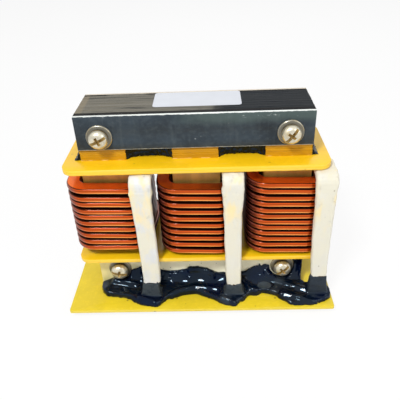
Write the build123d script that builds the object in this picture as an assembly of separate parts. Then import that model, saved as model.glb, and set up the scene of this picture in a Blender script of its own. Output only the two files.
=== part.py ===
from build123d import *
from math import floor, pi
import os

# Three-phase line reactor on an insulating base board. Millimetres, +Z up, the leads of the
# finished ends at -Y. The origin is the middle of the base board's underside.

# ---- core: three laminated limbs between two laminated yokes
LIMB_W = 19.0
STACK_D = 23.0
LOWER_YOKE_H = 19.0
TOP_YOKE_H = 14.7
FACE_T = 1.0
GAP_H = 5.3
SHEETS = 5

# ---- insulating boards
BASE_PAST_YOKE = 12.5
BASE_PAST_LEAD = 8.6
BASE_T = 1.6
BASE_CORNER_R = 0.8
BOARD_PAST_YOKE = 7.0
BOARD_PAST_COIL = 0.1
BOARD_R = 5.0
COIL_BOARD_T = 2.0
TOP_BOARD_T = 2.5
WRAP_T = 0.5
WINDOW_CLEAR = 0.1

# ---- windings: flat copper wire wound on its edge
WIRE_W = 6.0
WIRE_T = 2.4
WINDING_PLAY_X = 1.25
WINDING_PLAY_Y = 1.4
COILS_APART = 3.5
COIL_R = 9.0
HEADROOM = 6.1
# clear gaps between the turns along the front, from the lowest turn up, as the wire was wound
GAPS_LEFT = (0.75, 0.85, 0.95, 0.65, 0.95, 0.4, 1.1, 0.2, 1.6)
GAPS_MIDDLE = (1.25, 0.95, 1.0, 1.0, 1.0, 1.1, 0.95, 1.05, 1.0)
GAPS_RIGHT = (0.9, 0.65, 0.55, 0.5, 0.5, 0.6, 0.45, 0.75, 0.45, 1.0, 0.45)
# height of the lowest turn's underside over the coil board, at the middle of the front
LIFT_LEFT = 5.1
LIFT_MIDDLE = 2.1
LIFT_RIGHT = 1.6

# ---- leads: the wire's own ends, bent down and led through the base board
LEAD_SET_IN = 1.95
LEAD_BEND_R = 3.5
START_BEND_IN = 0.25
LEAD_FLAT_L = 10.5
START_DROP = 1.4
TAIL = 3.5
SLOT_CLEAR = 0.2
SLEEVE_WALL = 0.45
SLEEVE_CLEAR = 0.1
SLEEVE_SEAT = 0.15
SLEEVE_R = 1.2
# front sleeves: width at the bend, width at the open end, height of the open end over the base board
SLEEVES_FRONT = ((9.9, 8.4, 9.5), (9.3, 7.1, 7.6), (9.3, 7.1, 11.4))
SLEEVE_REAR = (7.4, 7.1, 8.4)
SLEEVE_FULL_H = 10.0

# ---- fasteners: M4 screws with spring and flat washers
SCREW_D = 4.0
HOLE_D = 4.4
TOP_HOLE_UP = 5.7
LOWER_HOLE_UP = 9.8
HEAD_D = 8.0
HEAD_H = 2.8
HEAD_RIM = 1.0
HEAD_TOP_D = 4.0
CROSS_L = 4.4
CROSS_W = 1.1
CROSS_DEEP = 1.7
SLOT_L = 7.2
SLOT_W = 1.1
SLOT_DEEP = 1.1
WASHER_D = 10.6
WASHER_T = 0.8
SPRING_D = 7.2
SPRING_T = 1.0
SPRING_SPLIT = 0.7
NUT_AF = 7.0
NUT_H = 3.2
NUT_BORE_D = 4.1
SCREW_PAST_NUT = 1.3
RECESS_TURNS = (25.0, 52.0, -12.0, 40.0)

# ---- potting and adhesive
COLLAR = 0.6
COLLAR_FOOT = 1.5
BEAD_LIP = 0.7
BEAD_SHELF = 2.8
BEAD_TOP = 13.4
BEAD_REACH = 5.0
BEAD_FILM = 0.35
BEAD_UNDER_BOARD = 0.3
FILLET_SET_IN = 0.5
FILLET_DIP = 2.8
FILLET_RUN = 3.0
FILLET_TOP = 0.5
SCREW_ROOM = 0.15

# ---- blank label on the top yoke
LABEL_L = 36.0
LABEL_W = 16.0
LABEL_T = 0.1
LABEL_R = 1.5
LABEL_X = 1.2
LABEL_FROM_REAR = 1.4

# ---- worked out from the sizes above
COIL_HALF_L = LIMB_W / 2 + WRAP_T + WINDING_PLAY_X + WIRE_W
COIL_HALF_D = STACK_D / 2 + WRAP_T + WINDING_PLAY_Y + WIRE_W
LIMB_PITCH = 2 * COIL_HALF_L + COILS_APART
YOKE_L = 2 * LIMB_PITCH + LIMB_W
YOKE_HALF_D = STACK_D / 2 + FACE_T
LIMB_XS = (-LIMB_PITCH, 0.0, LIMB_PITCH)
LIFTS = (LIFT_LEFT, LIFT_MIDDLE, LIFT_RIGHT)
GAP_LISTS = (GAPS_LEFT, GAPS_MIDDLE, GAPS_RIGHT)
WINDING_HEIGHTS = [
    lift + sum(gaps) + WIRE_T * (len(gaps) + 1) for lift, gaps in zip(LIFTS, GAP_LISTS)
]
COIL_SPACE_H = max(WINDING_HEIGHTS) + HEADROOM
Z_YOKE = BASE_T
Z_COIL_BOARD = Z_YOKE + LOWER_YOKE_H
Z_COILS = Z_COIL_BOARD + COIL_BOARD_T
Z_TOP_BOARD = Z_COILS + COIL_SPACE_H
Z_SHEETS = Z_TOP_BOARD + TOP_BOARD_T
Z_TOP_YOKE = Z_SHEETS + GAP_H
Z_TOP = Z_TOP_YOKE + TOP_YOKE_H
SLEEVE_OUT = SLEEVE_CLEAR + SLEEVE_WALL
BOARD_L = YOKE_L + 2 * BOARD_PAST_YOKE
BOARD_D = 2 * (COIL_HALF_D + BOARD_PAST_COIL)
LEAD_X = COIL_HALF_L - LEAD_SET_IN
LEAD_Y = BOARD_D / 2 + SLEEVE_SEAT + SLEEVE_OUT + WIRE_T / 2
LEAD_FLAT = COIL_HALF_D - LEAD_FLAT_L
BASE_L = YOKE_L + 2 * BASE_PAST_YOKE
BASE_D = 2 * (LEAD_Y + BASE_PAST_LEAD)
LABEL_Y = YOKE_HALF_D - LABEL_FROM_REAR - LABEL_W / 2
LEAD_TOP_Z = Z_TOP_BOARD - SLEEVE_SEAT - SLEEVE_OUT - WIRE_T / 2
START_BEND_R = WIRE_T / 2 + SLEEVE_OUT + START_BEND_IN
RUN_X = COIL_HALF_L - WIRE_W / 2
RUN_Y = COIL_HALF_D - WIRE_W / 2
TURN_R = COIL_R - WIRE_W / 2
HALF_X = RUN_X - TURN_R
HALF_Y = RUN_Y - TURN_R
TURN_LEN = 4 * HALF_X + 4 * HALF_Y + 2 * pi * TURN_R
HEAD_FACE_Y = YOKE_HALF_D + WASHER_T + SPRING_T
SCREW_XS = (-LIMB_PITCH, LIMB_PITCH)
SCREW_ZS = (Z_TOP_YOKE + TOP_HOLE_UP, Z_YOKE + LOWER_HOLE_UP)
SCREWS = [(x, z) for z in SCREW_ZS for x in SCREW_XS]


def save(shape, node):
    shape.label = node
    export_step(shape, f"parts/{node}.step")


def box(x0, x1, y0, y1, z0, z1):
    return Pos((x0 + x1) / 2, (y0 + y1) / 2, (z0 + z1) / 2) * Box(x1 - x0, y1 - y0, z1 - z0)


def rounded_plate(length, depth, radius, z0, thick):
    return Pos(0, 0, z0) * extrude(RectangleRounded(length, depth, radius), thick)


def along_y(x, z, diameter, y0, y1):
    return Pos(x, (y0 + y1) / 2, z) * Rot(90, 0, 0) * Cylinder(diameter / 2, y1 - y0)


def filled(outline):
    """The flat face inside a closed outline."""
    return Face(Wire(outline.edges()))


# ---- boards
def lead_slots():
    room = 2 * SLOT_CLEAR
    slots = [
        Pos(x + LEAD_X, y, BASE_T / 2) * Box(WIRE_W + room, WIRE_T + room, 2 * BASE_T)
        for x in LIMB_XS
        for y in (-LEAD_Y, LEAD_Y)
    ]
    return Part() + slots


def make_base_board():
    return rounded_plate(BASE_L, BASE_D, BASE_CORNER_R, 0, BASE_T) - lead_slots()


def make_coil_board():
    board = rounded_plate(BOARD_L, BOARD_D, BOARD_R, Z_COIL_BOARD, COIL_BOARD_T)
    room = 2 * WINDOW_CLEAR
    for x in LIMB_XS:
        board -= Pos(x, 0, Z_COIL_BOARD) * Box(LIMB_W + room, STACK_D + room, 4 * COIL_BOARD_T)
    return board


# ---- core
def bolt_holes(shape, z):
    for x in SCREW_XS:
        shape -= along_y(x, z, HOLE_D, -BOARD_D, BOARD_D)
    return shape


def make_yoke(z0, height, hole_z):
    half = STACK_D / 2
    return bolt_holes(box(-YOKE_L / 2, YOKE_L / 2, -half, half, z0, z0 + height), hole_z)


def make_face(side, z0, height, hole_z):
    near = side * STACK_D / 2
    far = side * YOKE_HALF_D
    plate = box(-YOKE_L / 2, YOKE_L / 2, min(near, far), max(near, far), z0, z0 + height)
    return bolt_holes(plate, hole_z)


def make_limb(x):
    half = STACK_D / 2
    return box(x - LIMB_W / 2, x + LIMB_W / 2, -half, half, Z_COIL_BOARD, Z_TOP_BOARD)


def make_wrap(x):
    outer = Box(LIMB_W + 2 * WRAP_T, STACK_D + 2 * WRAP_T, COIL_SPACE_H)
    inner = Box(LIMB_W, STACK_D, 2 * COIL_SPACE_H)
    return Pos(x, 0, Z_COILS + COIL_SPACE_H / 2) * (outer - inner)


def make_gap_sheets(x):
    sheet = GAP_H / SHEETS
    layers = [
        Pos(x, 0, Z_SHEETS + sheet * (i + 0.5)) * Box(LIMB_W, STACK_D, sheet)
        for i in range(SHEETS)
    ]
    return Compound(children=layers)


# ---- windings
def level_along(first, rises, s):
    """Height of the wire's middle at length s from the middle of the lowest front run."""
    turn = floor(s / TURN_LEN)
    whole = min(max(turn, 0), len(rises))
    here = rises[min(whole, len(rises) - 1)]
    return first + sum(rises[:whole]) + (s / TURN_LEN - whole) * here


def coil_edges(first, rises):
    """Straight runs and corner helices, clockwise seen from above while rising."""
    corners = ((HALF_X, -HALF_Y), (-HALF_X, -HALF_Y), (-HALF_X, HALF_Y), (HALF_X, HALF_Y))
    ends = ((-HALF_X, -RUN_Y), (-RUN_X, HALF_Y), (HALF_X, RUN_Y), (RUN_X, -HALF_Y))
    runs = (2 * HALF_X, 2 * HALF_Y, 2 * HALF_X, 2 * HALF_Y)
    bend = pi / 2 * TURN_R
    s = -HALF_X - bend
    edges = []
    turns = len(rises) + 1
    for turn in range(turns):
        for side in range(4):
            z0 = level_along(first, rises, s)
            z1 = level_along(first, rises, s + bend)
            arc = Edge.make_helix(4 * (z1 - z0), z1 - z0, TURN_R, lefthand=True)
            arc = arc.rotate(Axis.Z, -90 * side)
            edges.append(arc.moved(Location((*corners[side], z0))))
            s += bend
            if side == 3 and turn == turns - 1:
                break
            start = edges[-1] @ 1
            if side == 0:
                middle = Vector(0, -RUN_Y, level_along(first, rises, s + HALF_X))
                edges.append(Edge.make_line(start, middle))
                start = middle
            s += runs[side]
            edges.append(Edge.make_line(start, Vector(*ends[side], level_along(first, rises, s))))
    return edges


def bend_radius(sign):
    return LEAD_BEND_R if sign < 0 else START_BEND_R


def lead_edges(sign, z):
    """Flat run, bend and drop of a lead, from the winding outwards; sign is -1 at the front."""
    radius = bend_radius(sign)
    inner = Vector(LEAD_X, sign * LEAD_FLAT, z)
    knee = Vector(LEAD_X, sign * (LEAD_Y - radius), z)
    foot = Vector(LEAD_X, sign * LEAD_Y, z - radius)
    tip = Vector(LEAD_X, sign * LEAD_Y, -TAIL)
    bend = Edge.make_tangent_arc(knee, Vector(0, sign, 0), foot)
    return [Edge.make_line(inner, knee), bend, Edge.make_line(foot, tip)]


def wire_piece(edge):
    """One stretch of wire along an edge: on its edge round the limb, or following a flat bend."""
    start = edge @ 0
    way = edge % 0
    level = Vector(way.X, way.Y, 0)
    if level.length < 0.5:
        plane = Plane(origin=start, x_dir=(1, 0, 0), z_dir=way)
        return extrude(plane * Rectangle(WIRE_W, WIRE_T), edge.length)
    flat = level.normalized()
    plane = Plane(origin=start, x_dir=(-flat.Y, flat.X, 0), z_dir=flat)
    section = plane * Rectangle(WIRE_W, WIRE_T)
    if edge.geom_type == GeomType.LINE:
        return extrude(section, edge.length, dir=tuple(way))
    if edge.geom_type == GeomType.CIRCLE:
        return sweep(section, path=edge)
    return sweep(section, path=edge, binormal=edge.moved(Location((0, 0, 10))))


def joined(edges, tips):
    """The stretches sewn into one solid; of their end faces only those at the two tips are kept."""
    faces = []
    for edge in edges:
        ends = [end for end in (edge @ 0, edge @ 1) if min((end - tip).length for tip in tips) > 1]
        for face in wire_piece(edge).faces():
            middle = face.center()
            if all((middle - end).length > 0.05 for end in ends):
                faces.append(face)
    return Solid(Shell(faces))


def start_level(lift):
    """Height of the starting lead: a little under the lowest turn, but clear of the board."""
    clear = SLEEVE_SEAT + SLEEVE_OUT + WIRE_T / 2
    return Z_COILS + max(lift + WIRE_T / 2 - START_DROP, clear)


def make_coil(x, lift, gaps):
    rises = [WIRE_T + gap for gap in gaps]
    turns = coil_edges(Z_COILS + lift + WIRE_T / 2, rises)
    rear = lead_edges(1, start_level(lift))
    front = lead_edges(-1, LEAD_TOP_Z)
    ahead = Vector(0, -1, 0)
    start = Edge.make_spline([rear[0] @ 0, turns[0] @ 0], tangents=[ahead, turns[0] % 0])
    finish = Edge.make_spline([turns[-1] @ 1, front[0] @ 0], tangents=[turns[-1] % 1, ahead])
    edges = rear + [start] + turns + [finish] + front
    return Pos(x, 0, 0) * joined(edges, (rear[-1] @ 1, front[-1] @ 1))


def bent_strip(sign, z, half_t, z_low, half_w):
    """The side view of a lead grown to half_t each way, given a width."""
    radius = bend_radius(sign)
    outer = radius + half_t
    inner = radius - half_t
    cy = sign * (LEAD_Y - radius)
    cz = z - radius
    y_in = sign * LEAD_FLAT
    y_near = sign * (LEAD_Y - half_t)
    y_far = sign * (LEAD_Y + half_t)
    k = 0.5**0.5
    side = Line((y_in, z + half_t), (cy, z + half_t))
    side += ThreePointArc((cy, cz + outer), (cy + sign * outer * k, cz + outer * k), (y_far, cz))
    side += Line((y_far, cz), (y_far, z_low))
    side += Line((y_far, z_low), (y_near, z_low))
    side += Line((y_near, z_low), (y_near, cz))
    side += ThreePointArc((y_near, cz), (cy + sign * inner * k, cz + inner * k), (cy, cz + inner))
    side += Line((cy, cz + inner), (y_in, z - half_t))
    side += Line((y_in, z - half_t), (y_in, z + half_t))
    solid = extrude(Plane.YZ * filled(side), half_w, both=True)
    return Pos(LEAD_X, 0, 0) * solid


def make_sleeve(x, sign, z, widths):
    top_w, end_w, up = widths
    z_low = BASE_T + up
    tube = bent_strip(sign, z, WIRE_T / 2 + SLEEVE_OUT, z_low, top_w / 2)
    taper = Polyline(
        (LEAD_X - end_w / 2, z_low),
        (LEAD_X + end_w / 2, z_low),
        (LEAD_X + top_w / 2, z - SLEEVE_FULL_H),
        (LEAD_X + top_w / 2, z + LEAD_BEND_R),
        (LEAD_X - top_w / 2, z + LEAD_BEND_R),
        (LEAD_X - top_w / 2, z - SLEEVE_FULL_H),
        close=True,
    )
    tube &= extrude(Plane.XZ * filled(taper), 2 * LEAD_Y, both=True)
    tube -= bent_strip(sign, z, WIRE_T / 2 + SLEEVE_CLEAR, z_low - BASE_T, WIRE_W / 2 + SLEEVE_CLEAR)
    if sign > 0:
        tube &= box(0, BASE_L, COIL_HALF_D + SLEEVE_CLEAR, BASE_D, 0, Z_TOP)
    return Pos(x, 0, 0) * tube


# ---- fasteners, each with its head towards -Y
def make_screw(x, z, turn):
    rim = HEAD_D / 2
    top = HEAD_TOP_D / 2
    profile = Line((0, 0), (rim, 0))
    profile += Line((rim, 0), (rim, HEAD_RIM))
    profile += ThreePointArc((rim, HEAD_RIM), (0.86 * rim, 0.77 * HEAD_H), (top, HEAD_H))
    profile += Line((top, HEAD_H), (0, HEAD_H))
    profile += Line((0, HEAD_H), (0, 0))
    head = revolve(Plane.XZ * filled(profile), Axis.Z)
    cross = Pos(0, 0, HEAD_H) * (
        Box(CROSS_L, CROSS_W, 2 * CROSS_DEEP) + Box(CROSS_W, CROSS_L, 2 * CROSS_DEEP)
    )
    slot = Pos(0, 0, HEAD_H) * Box(SLOT_L, SLOT_W, 2 * SLOT_DEEP)
    head -= cross + slot
    shank_l = HEAD_FACE_Y + YOKE_HALF_D + WASHER_T + NUT_H + SCREW_PAST_NUT
    shank = Pos(0, 0, -shank_l / 2) * Cylinder(SCREW_D / 2, shank_l)
    return Pos(x, -HEAD_FACE_Y, z) * Rot(90, 0, 0) * Rot(0, 0, turn) * (head + shank)


def make_ring(x, z, outer, inner, y0, thick):
    ring = Cylinder(outer / 2, thick) - Cylinder(inner / 2, 2 * thick)
    return Pos(x, y0 + thick / 2, z) * Rot(90, 0, 0) * ring


def make_spring_washer(x, z):
    ring = Cylinder(SPRING_D / 2, SPRING_T) - Cylinder(HOLE_D / 2, 2 * SPRING_T)
    ring -= Pos(0, SPRING_D / 2, 0) * Rot(0, 25, 0) * Box(SPRING_SPLIT, SPRING_D, 4 * SPRING_T)
    return Pos(x, -HEAD_FACE_Y + SPRING_T / 2, z) * Rot(90, 0, 0) * ring


def make_nut(x, z):
    blank = extrude(RegularPolygon(NUT_AF / 2, 6, major_radius=False), NUT_H)
    cone = Pos(0, 0, NUT_H / 2) * Cylinder(NUT_AF / 2 * 1.13, NUT_H)
    cone = chamfer(cone.edges().filter_by(GeomType.CIRCLE), 0.6)
    nut = (blank & cone) - Cylinder(NUT_BORE_D / 2, 4 * NUT_H)
    return Pos(x, YOKE_HALF_D + WASHER_T + NUT_H, z) * Rot(90, 0, 0) * nut


# ---- potting round the lead feet, and the adhesive fillets beside the gap sheets
def bead(sign):
    """A poured bead: its plan, its side view and its front view meet in one body."""
    face = YOKE_HALF_D
    left = -YOKE_L / 2
    p = LIMB_PITCH
    r = BEAD_REACH
    t = BEAD_TOP
    z0 = BASE_T
    neck = LEAD_Y - 0.12 * r
    lobe = LEAD_Y + WIRE_T / 2 + r
    x1, x2, x3 = (x + LEAD_X for x in LIMB_XS)
    end = x3 + 0.14 * p
    shore = [
        (left, face + 0.7 * r),
        (left + 0.09 * p, neck),
        (x1 - 0.28 * p, neck + 0.58 * r),
        (x1 - 0.12 * p, lobe),
        (x1 + 0.07 * p, lobe),
        (x1 + 0.24 * p, neck + 0.36 * r),
        (x1 + 0.47 * p, neck - 0.1 * r),
        (x2 - 0.25 * p, neck + 0.84 * r),
        (x2 - 0.04 * p, lobe + 0.12 * r),
        (x2 + 0.17 * p, neck + 0.44 * r),
        (x2 + 0.33 * p, neck + 0.06 * r),
        (x3 - 0.46 * p, neck + 0.68 * r),
        (x3 - 0.34 * p, lobe + 0.2 * r),
        (x3 - 0.09 * p, lobe + 0.18 * r),
        (x3 + 0.13 * p, neck + 0.94 * r),
        (end, face + 1.3 * r),
    ]
    plan_line = Spline(*[(x, sign * y) for x, y in shore])
    back = Polyline(
        (end, sign * (face + 1.3 * r)),
        (x3 - 0.17 * p, sign * (face + 0.8 * r)),
        (-left, sign * face),
        (left, sign * face),
        (left, sign * (face + 0.7 * r)),
    )
    plan = extrude(filled(plan_line + back), Z_COIL_BOARD, dir=(0, 0, 1))
    rim_z = Z_COIL_BOARD - BEAD_UNDER_BOARD
    slope = Spline(
        (sign * face, rim_z),
        (sign * (face + BEAD_FILM), z0 + t),
        (sign * (face + 0.24 * r), z0 + 0.62 * t),
        (sign * (face + 0.9 * r), z0 + 0.3 * t),
        (sign * LEAD_Y, z0 + BEAD_SHELF),
        (sign * BASE_D / 2, z0 + BEAD_LIP),
    )
    floor_line = Polyline(
        (sign * BASE_D / 2, z0 + BEAD_LIP),
        (sign * BASE_D / 2, z0),
        (sign * face, z0),
        (sign * face, rim_z),
    )
    side = extrude(Plane.YZ * filled(slope + floor_line), BASE_L, both=True)
    crest = [
        (left, z0 + 0.19 * t),
        (SCREW_XS[0], z0 + 0.45 * t),
        (x1 - 0.16 * p, z0 + 0.79 * t),
        (x1 + 0.09 * p, z0 + t),
        (0, z0 + 0.69 * t),
        (x2 + 0.13 * p, z0 + 0.52 * t),
        (x2 + 0.32 * p, z0 + 0.78 * t),
        (SCREW_XS[1] + 0.13 * p, z0 + 0.98 * t),
        (-left, rim_z),
        (x3 + 0.16 * p, z0 + 0.6 * t),
    ]
    under = Polyline(crest[-1], (x3 + 0.16 * p, 0), (left, 0), crest[0])
    front = extrude(Plane.XZ * filled(Spline(*crest) + under), BASE_D, both=True)
    body = plan & side & front
    for i, x in enumerate((x1, x2, x3)):
        up = SLEEVES_FRONT[i][2] if sign < 0 else SLEEVE_REAR[2]
        foot = Rectangle(WIRE_W + 2 * COLLAR_FOOT, WIRE_T + 2 * COLLAR_FOOT)
        neck_ring = Rectangle(WIRE_W + 2 * COLLAR, WIRE_T + 2 * COLLAR)
        collar = loft([Pos(0, 0, z0) * foot, Pos(0, 0, z0 + up) * neck_ring])
        body += Pos(x, sign * LEAD_Y, 0) * collar
    for x in (x1, x2, x3):
        body -= Pos(x, sign * LEAD_Y, z0) * Box(WIRE_W, WIRE_T, 4 * Z_YOKE + BASE_D)
    for x in SCREW_XS:
        room = WASHER_D + 2 * SCREW_ROOM
        body -= Pos(x, sign * BASE_D / 2, SCREW_ZS[1]) * Rot(90, 0, 0) * Cylinder(room / 2, BASE_D)
    return body


def make_gap_fill(x0, x1):
    """Adhesive that fills the gap between two piles of sheets, drawn in at the front and rear."""
    edge = STACK_D / 2 - FILLET_SET_IN
    dip = edge - FILLET_DIP
    middle = (x0 + x1) / 2
    quarter = (x1 - x0) / 5
    near = [(x0, -edge), (x0 + quarter, -dip - 0.2 * FILLET_DIP), (middle, -dip)]
    near += [(x1 - quarter, -dip - 0.2 * FILLET_DIP), (x1, -edge)]
    outline = Spline(*near) + Line((x1, -edge), (x1, edge))
    outline += Spline(*[(x, -y) for x, y in reversed(near)]) + Line((x0, edge), (x0, -edge))
    return extrude(Pos(0, 0, Z_SHEETS) * filled(outline), GAP_H, dir=(0, 0, 1))


def make_end_fillet(way):
    """Adhesive drawn up the outer side of the last pile of sheets."""
    half = STACK_D / 2 - FILLET_SET_IN
    x0 = way * YOKE_L / 2
    z0 = Z_SHEETS
    z1 = Z_TOP_YOKE - FILLET_TOP
    outline = Line((x0, z0), (x0 + way * FILLET_RUN, z0))
    outline += ThreePointArc(
        (x0 + way * FILLET_RUN, z0),
        (x0 + way * 0.32 * FILLET_RUN, z0 + 0.32 * GAP_H),
        (x0 + way * FILLET_TOP, z1),
    )
    outline += Line((x0 + way * FILLET_TOP, z1), (x0, z1))
    outline += Line((x0, z1), (x0, z0))
    return extrude(Plane.XZ * filled(outline), half, both=True)


def make_fillets():
    fills = [make_gap_fill(a + LIMB_W / 2, b - LIMB_W / 2) for a, b in zip(LIMB_XS, LIMB_XS[1:])]
    return Compound(children=fills + [make_end_fillet(-1), make_end_fillet(1)])


os.makedirs("parts", exist_ok=True)

save(make_base_board(), "base_board")
save(make_coil_board(), "coil_board")
save(rounded_plate(BOARD_L, BOARD_D, BOARD_R, Z_TOP_BOARD, TOP_BOARD_T), "top_board")

save(make_yoke(Z_YOKE, LOWER_YOKE_H, SCREW_ZS[1]), "lower_yoke")
save(make_yoke(Z_TOP_YOKE, TOP_YOKE_H, SCREW_ZS[0]), "top_yoke")
for side, name in ((-1, "front"), (1, "rear")):
    save(make_face(side, Z_YOKE, LOWER_YOKE_H, SCREW_ZS[1]), f"lower_face_{name}")
    save(make_face(side, Z_TOP_YOKE, TOP_YOKE_H, SCREW_ZS[0]), f"top_face_{name}")

for i, name in enumerate(("left", "middle", "right")):
    save(make_limb(LIMB_XS[i]), f"limb_{name}")
    save(make_wrap(LIMB_XS[i]), f"wrap_{name}")
    save(make_gap_sheets(LIMB_XS[i]), f"gap_sheets_{name}")
    save(make_coil(LIMB_XS[i], LIFTS[i], GAP_LISTS[i]), f"coil_{name}")
    save(make_sleeve(LIMB_XS[i], -1, LEAD_TOP_Z, SLEEVES_FRONT[i]), f"sleeve_front_{name}")
    rear = make_sleeve(LIMB_XS[i], 1, start_level(LIFTS[i]), SLEEVE_REAR)
    save(rear, f"sleeve_rear_{name}")

save(make_fillets(), "gap_fillets")
save(bead(-1), "potting_front")
save(bead(1), "potting_rear")

flat_washers = []
for x, z in SCREWS:
    flat_washers.append(make_ring(x, z, WASHER_D, HOLE_D, -YOKE_HALF_D - WASHER_T, WASHER_T))
    flat_washers.append(make_ring(x, z, WASHER_D, HOLE_D, YOKE_HALF_D, WASHER_T))
save(Compound(children=[make_screw(x, z, a) for (x, z), a in zip(SCREWS, RECESS_TURNS)]), "screws")
save(Compound(children=[make_spring_washer(x, z) for x, z in SCREWS]), "spring_washers")
save(Compound(children=flat_washers), "flat_washers")
save(Compound(children=[make_nut(x, z) for x, z in SCREWS]), "nuts")

label = extrude(RectangleRounded(LABEL_L, LABEL_W, LABEL_R), LABEL_T)
save(Pos(LABEL_X, LABEL_Y, Z_TOP) * label, "label")
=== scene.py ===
"""Dresses the three-phase line reactor: its pieces in detail, their finishes, the stage and the camera.

Blender's own calls get metres, so millimetres are written as 3.5 * MM. Finishes, profiles and the
functions that move points reckon in millimetres all through.
"""
import math
import random
from contextlib import contextmanager

import bmesh
import bpy
from bpy.props import FloatProperty, FloatVectorProperty, IntProperty, PointerProperty
from mathutils import Matrix, Vector, noise


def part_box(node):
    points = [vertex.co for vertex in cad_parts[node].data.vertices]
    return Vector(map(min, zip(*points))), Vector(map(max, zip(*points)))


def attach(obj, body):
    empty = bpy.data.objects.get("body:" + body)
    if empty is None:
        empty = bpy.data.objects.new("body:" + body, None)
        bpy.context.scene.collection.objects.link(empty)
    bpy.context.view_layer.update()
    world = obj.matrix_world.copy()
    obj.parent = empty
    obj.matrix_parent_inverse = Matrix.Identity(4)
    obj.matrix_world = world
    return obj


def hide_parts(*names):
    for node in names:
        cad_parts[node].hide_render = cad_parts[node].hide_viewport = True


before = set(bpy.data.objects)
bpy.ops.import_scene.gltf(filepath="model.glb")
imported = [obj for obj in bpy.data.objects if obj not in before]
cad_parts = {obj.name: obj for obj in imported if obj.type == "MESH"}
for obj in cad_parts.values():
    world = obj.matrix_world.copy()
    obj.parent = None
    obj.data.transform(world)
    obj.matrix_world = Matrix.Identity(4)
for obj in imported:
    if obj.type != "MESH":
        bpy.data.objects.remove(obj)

bl_info = {
    "name": "Line Reactor",
    "version": (1, 0, 0),
    "blender": (4, 5, 0),
    "location": "View3D > Sidebar > Reactor",
    "description": "Models a three-phase line reactor with edge-wound coils",
    "category": "Object",
}

MM = 0.001
SIDES = ("left", "middle", "right")


def low(node):
    return Vector(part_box(node)[0])


def high(node):
    return Vector(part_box(node)[1])


def middle(node):
    return (low(node) + high(node)) / 2


LIMB_XS = [middle("limb_" + side).x for side in SIDES]
LEAD_XS = [middle("sleeve_front_" + side).x for side in SIDES]
YOKE_Y = high("top_yoke").y
FACE_Y = high("top_face_rear").y
BASE_EDGE = 0.1 * MM
SLOT_PLAY = 0.2 * MM
HOLE_RADIUS = 2.2 * MM


def length(name, text, millimetres):
    return FloatProperty(
        name=name, description=text, default=millimetres * MM, unit="LENGTH", subtype="DISTANCE"
    )


def srgb(red, green, blue):
    """A colour given as it should look, on the usual 0 to 255 scale."""
    return tuple(
        ((c / 255 + 0.055) / 1.055) ** 2.4 if c > 10 else c / 255 / 12.92 for c in (red, green, blue)
    )


def shade(tint, factor):
    return tuple(min(c * factor, 1.0) for c in tint)


def colour(name, text, *tone):
    return FloatVectorProperty(
        name=name, description=text, default=srgb(*tone), size=3, min=0, max=1, subtype="COLOR"
    )


class CoreSizes(bpy.types.PropertyGroup):
    sheet: length("Lamination", "Thickness of one lamination", 0.5)
    burr: length("Burr", "How unevenly the laminations lie", 0.07)
    plate_edge: length("Plate edge", "Rounding of the facing plates' edges", 0.12)
    board_edge: length("Board edge", "Rounding of the insulating boards' edges", 0.18)
    board_corner: length("Board corner", "Corner radius of the coil boards", 5.0)
    base_corner: length("Base corner", "Corner radius of the base board", 0.8)


class WindingSizes(bpy.types.PropertyGroup):
    width: length("Wire width", "Flat wire's width across the winding", 6.0)
    thickness: length("Wire thickness", "Flat wire's thickness", 2.4)
    rounding: length("Wire rounding", "How far the crowned edges of the flat wire stand out", 0.8)
    corner: length("Corner", "Outer corner radius of a turn", 9.0)
    lead_bend: length("Lead bend", "Radius of the finished lead's bend", 3.5)
    start_bend: length("Start bend", "Radius of the starting lead's bend", 2.0)
    wander: length("Wander", "How far a turn wanders up and down", 0.14)


class FastenerSizes(bpy.types.PropertyGroup):
    head: length("Head", "Screw head diameter", 8.0)
    head_height: length("Head height", "Height of the screw head", 2.8)
    shank: length("Shank", "Screw diameter", 4.0)
    pitch: length("Pitch", "Thread pitch", 0.7)
    steps: IntProperty(name="Steps", description="Facets round a fastener", default=48, min=16, max=96)


class ReactorColours(bpy.types.PropertyGroup):
    board: colour("Coil boards", "Glass-epoxy board of the coil and top boards", 246, 196, 16)
    base: colour("Base board", "Paler glass-epoxy board of the base", 228, 202, 38)
    pale: colour("Lower facing", "Pale board facing the lower yoke", 255, 252, 228)
    gap: colour("Gap sheets", "Glass-epoxy sheets in the air gaps", 200, 146, 0)
    copper: colour("Copper", "Enamelled flat copper", 238, 94, 6)
    sleeve: colour("Sleeving", "Woven cream sleeving", 216, 212, 194)
    resin: colour("Resin", "Dark potting resin", 1, 6, 26)
    slate: colour("Facing plates", "Blue-grey facing plates of the top yoke", 44, 54, 62)
    steel: colour("Core steel", "Edges of the silicon steel laminations", 104, 101, 92)
    # Painted reflection: the dark tone laid over the right end of the top yoke.
    reflection_shade: colour("Reflection_shade", "Dark varnish on the core", 8, 17, 26)
    plating: colour("Plating", "Plating of the screws and washers", 214, 208, 188)
    wrap: colour("Limb wrap", "Varnished wrap round the limbs", 200, 170, 90)
    label: colour("Label", "Blank label", 188, 192, 200)


# Finishes. Weave and braid are the pitches of their threads in millimetres.

WEAVE = 0.55
BRAID = 0.9


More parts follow.
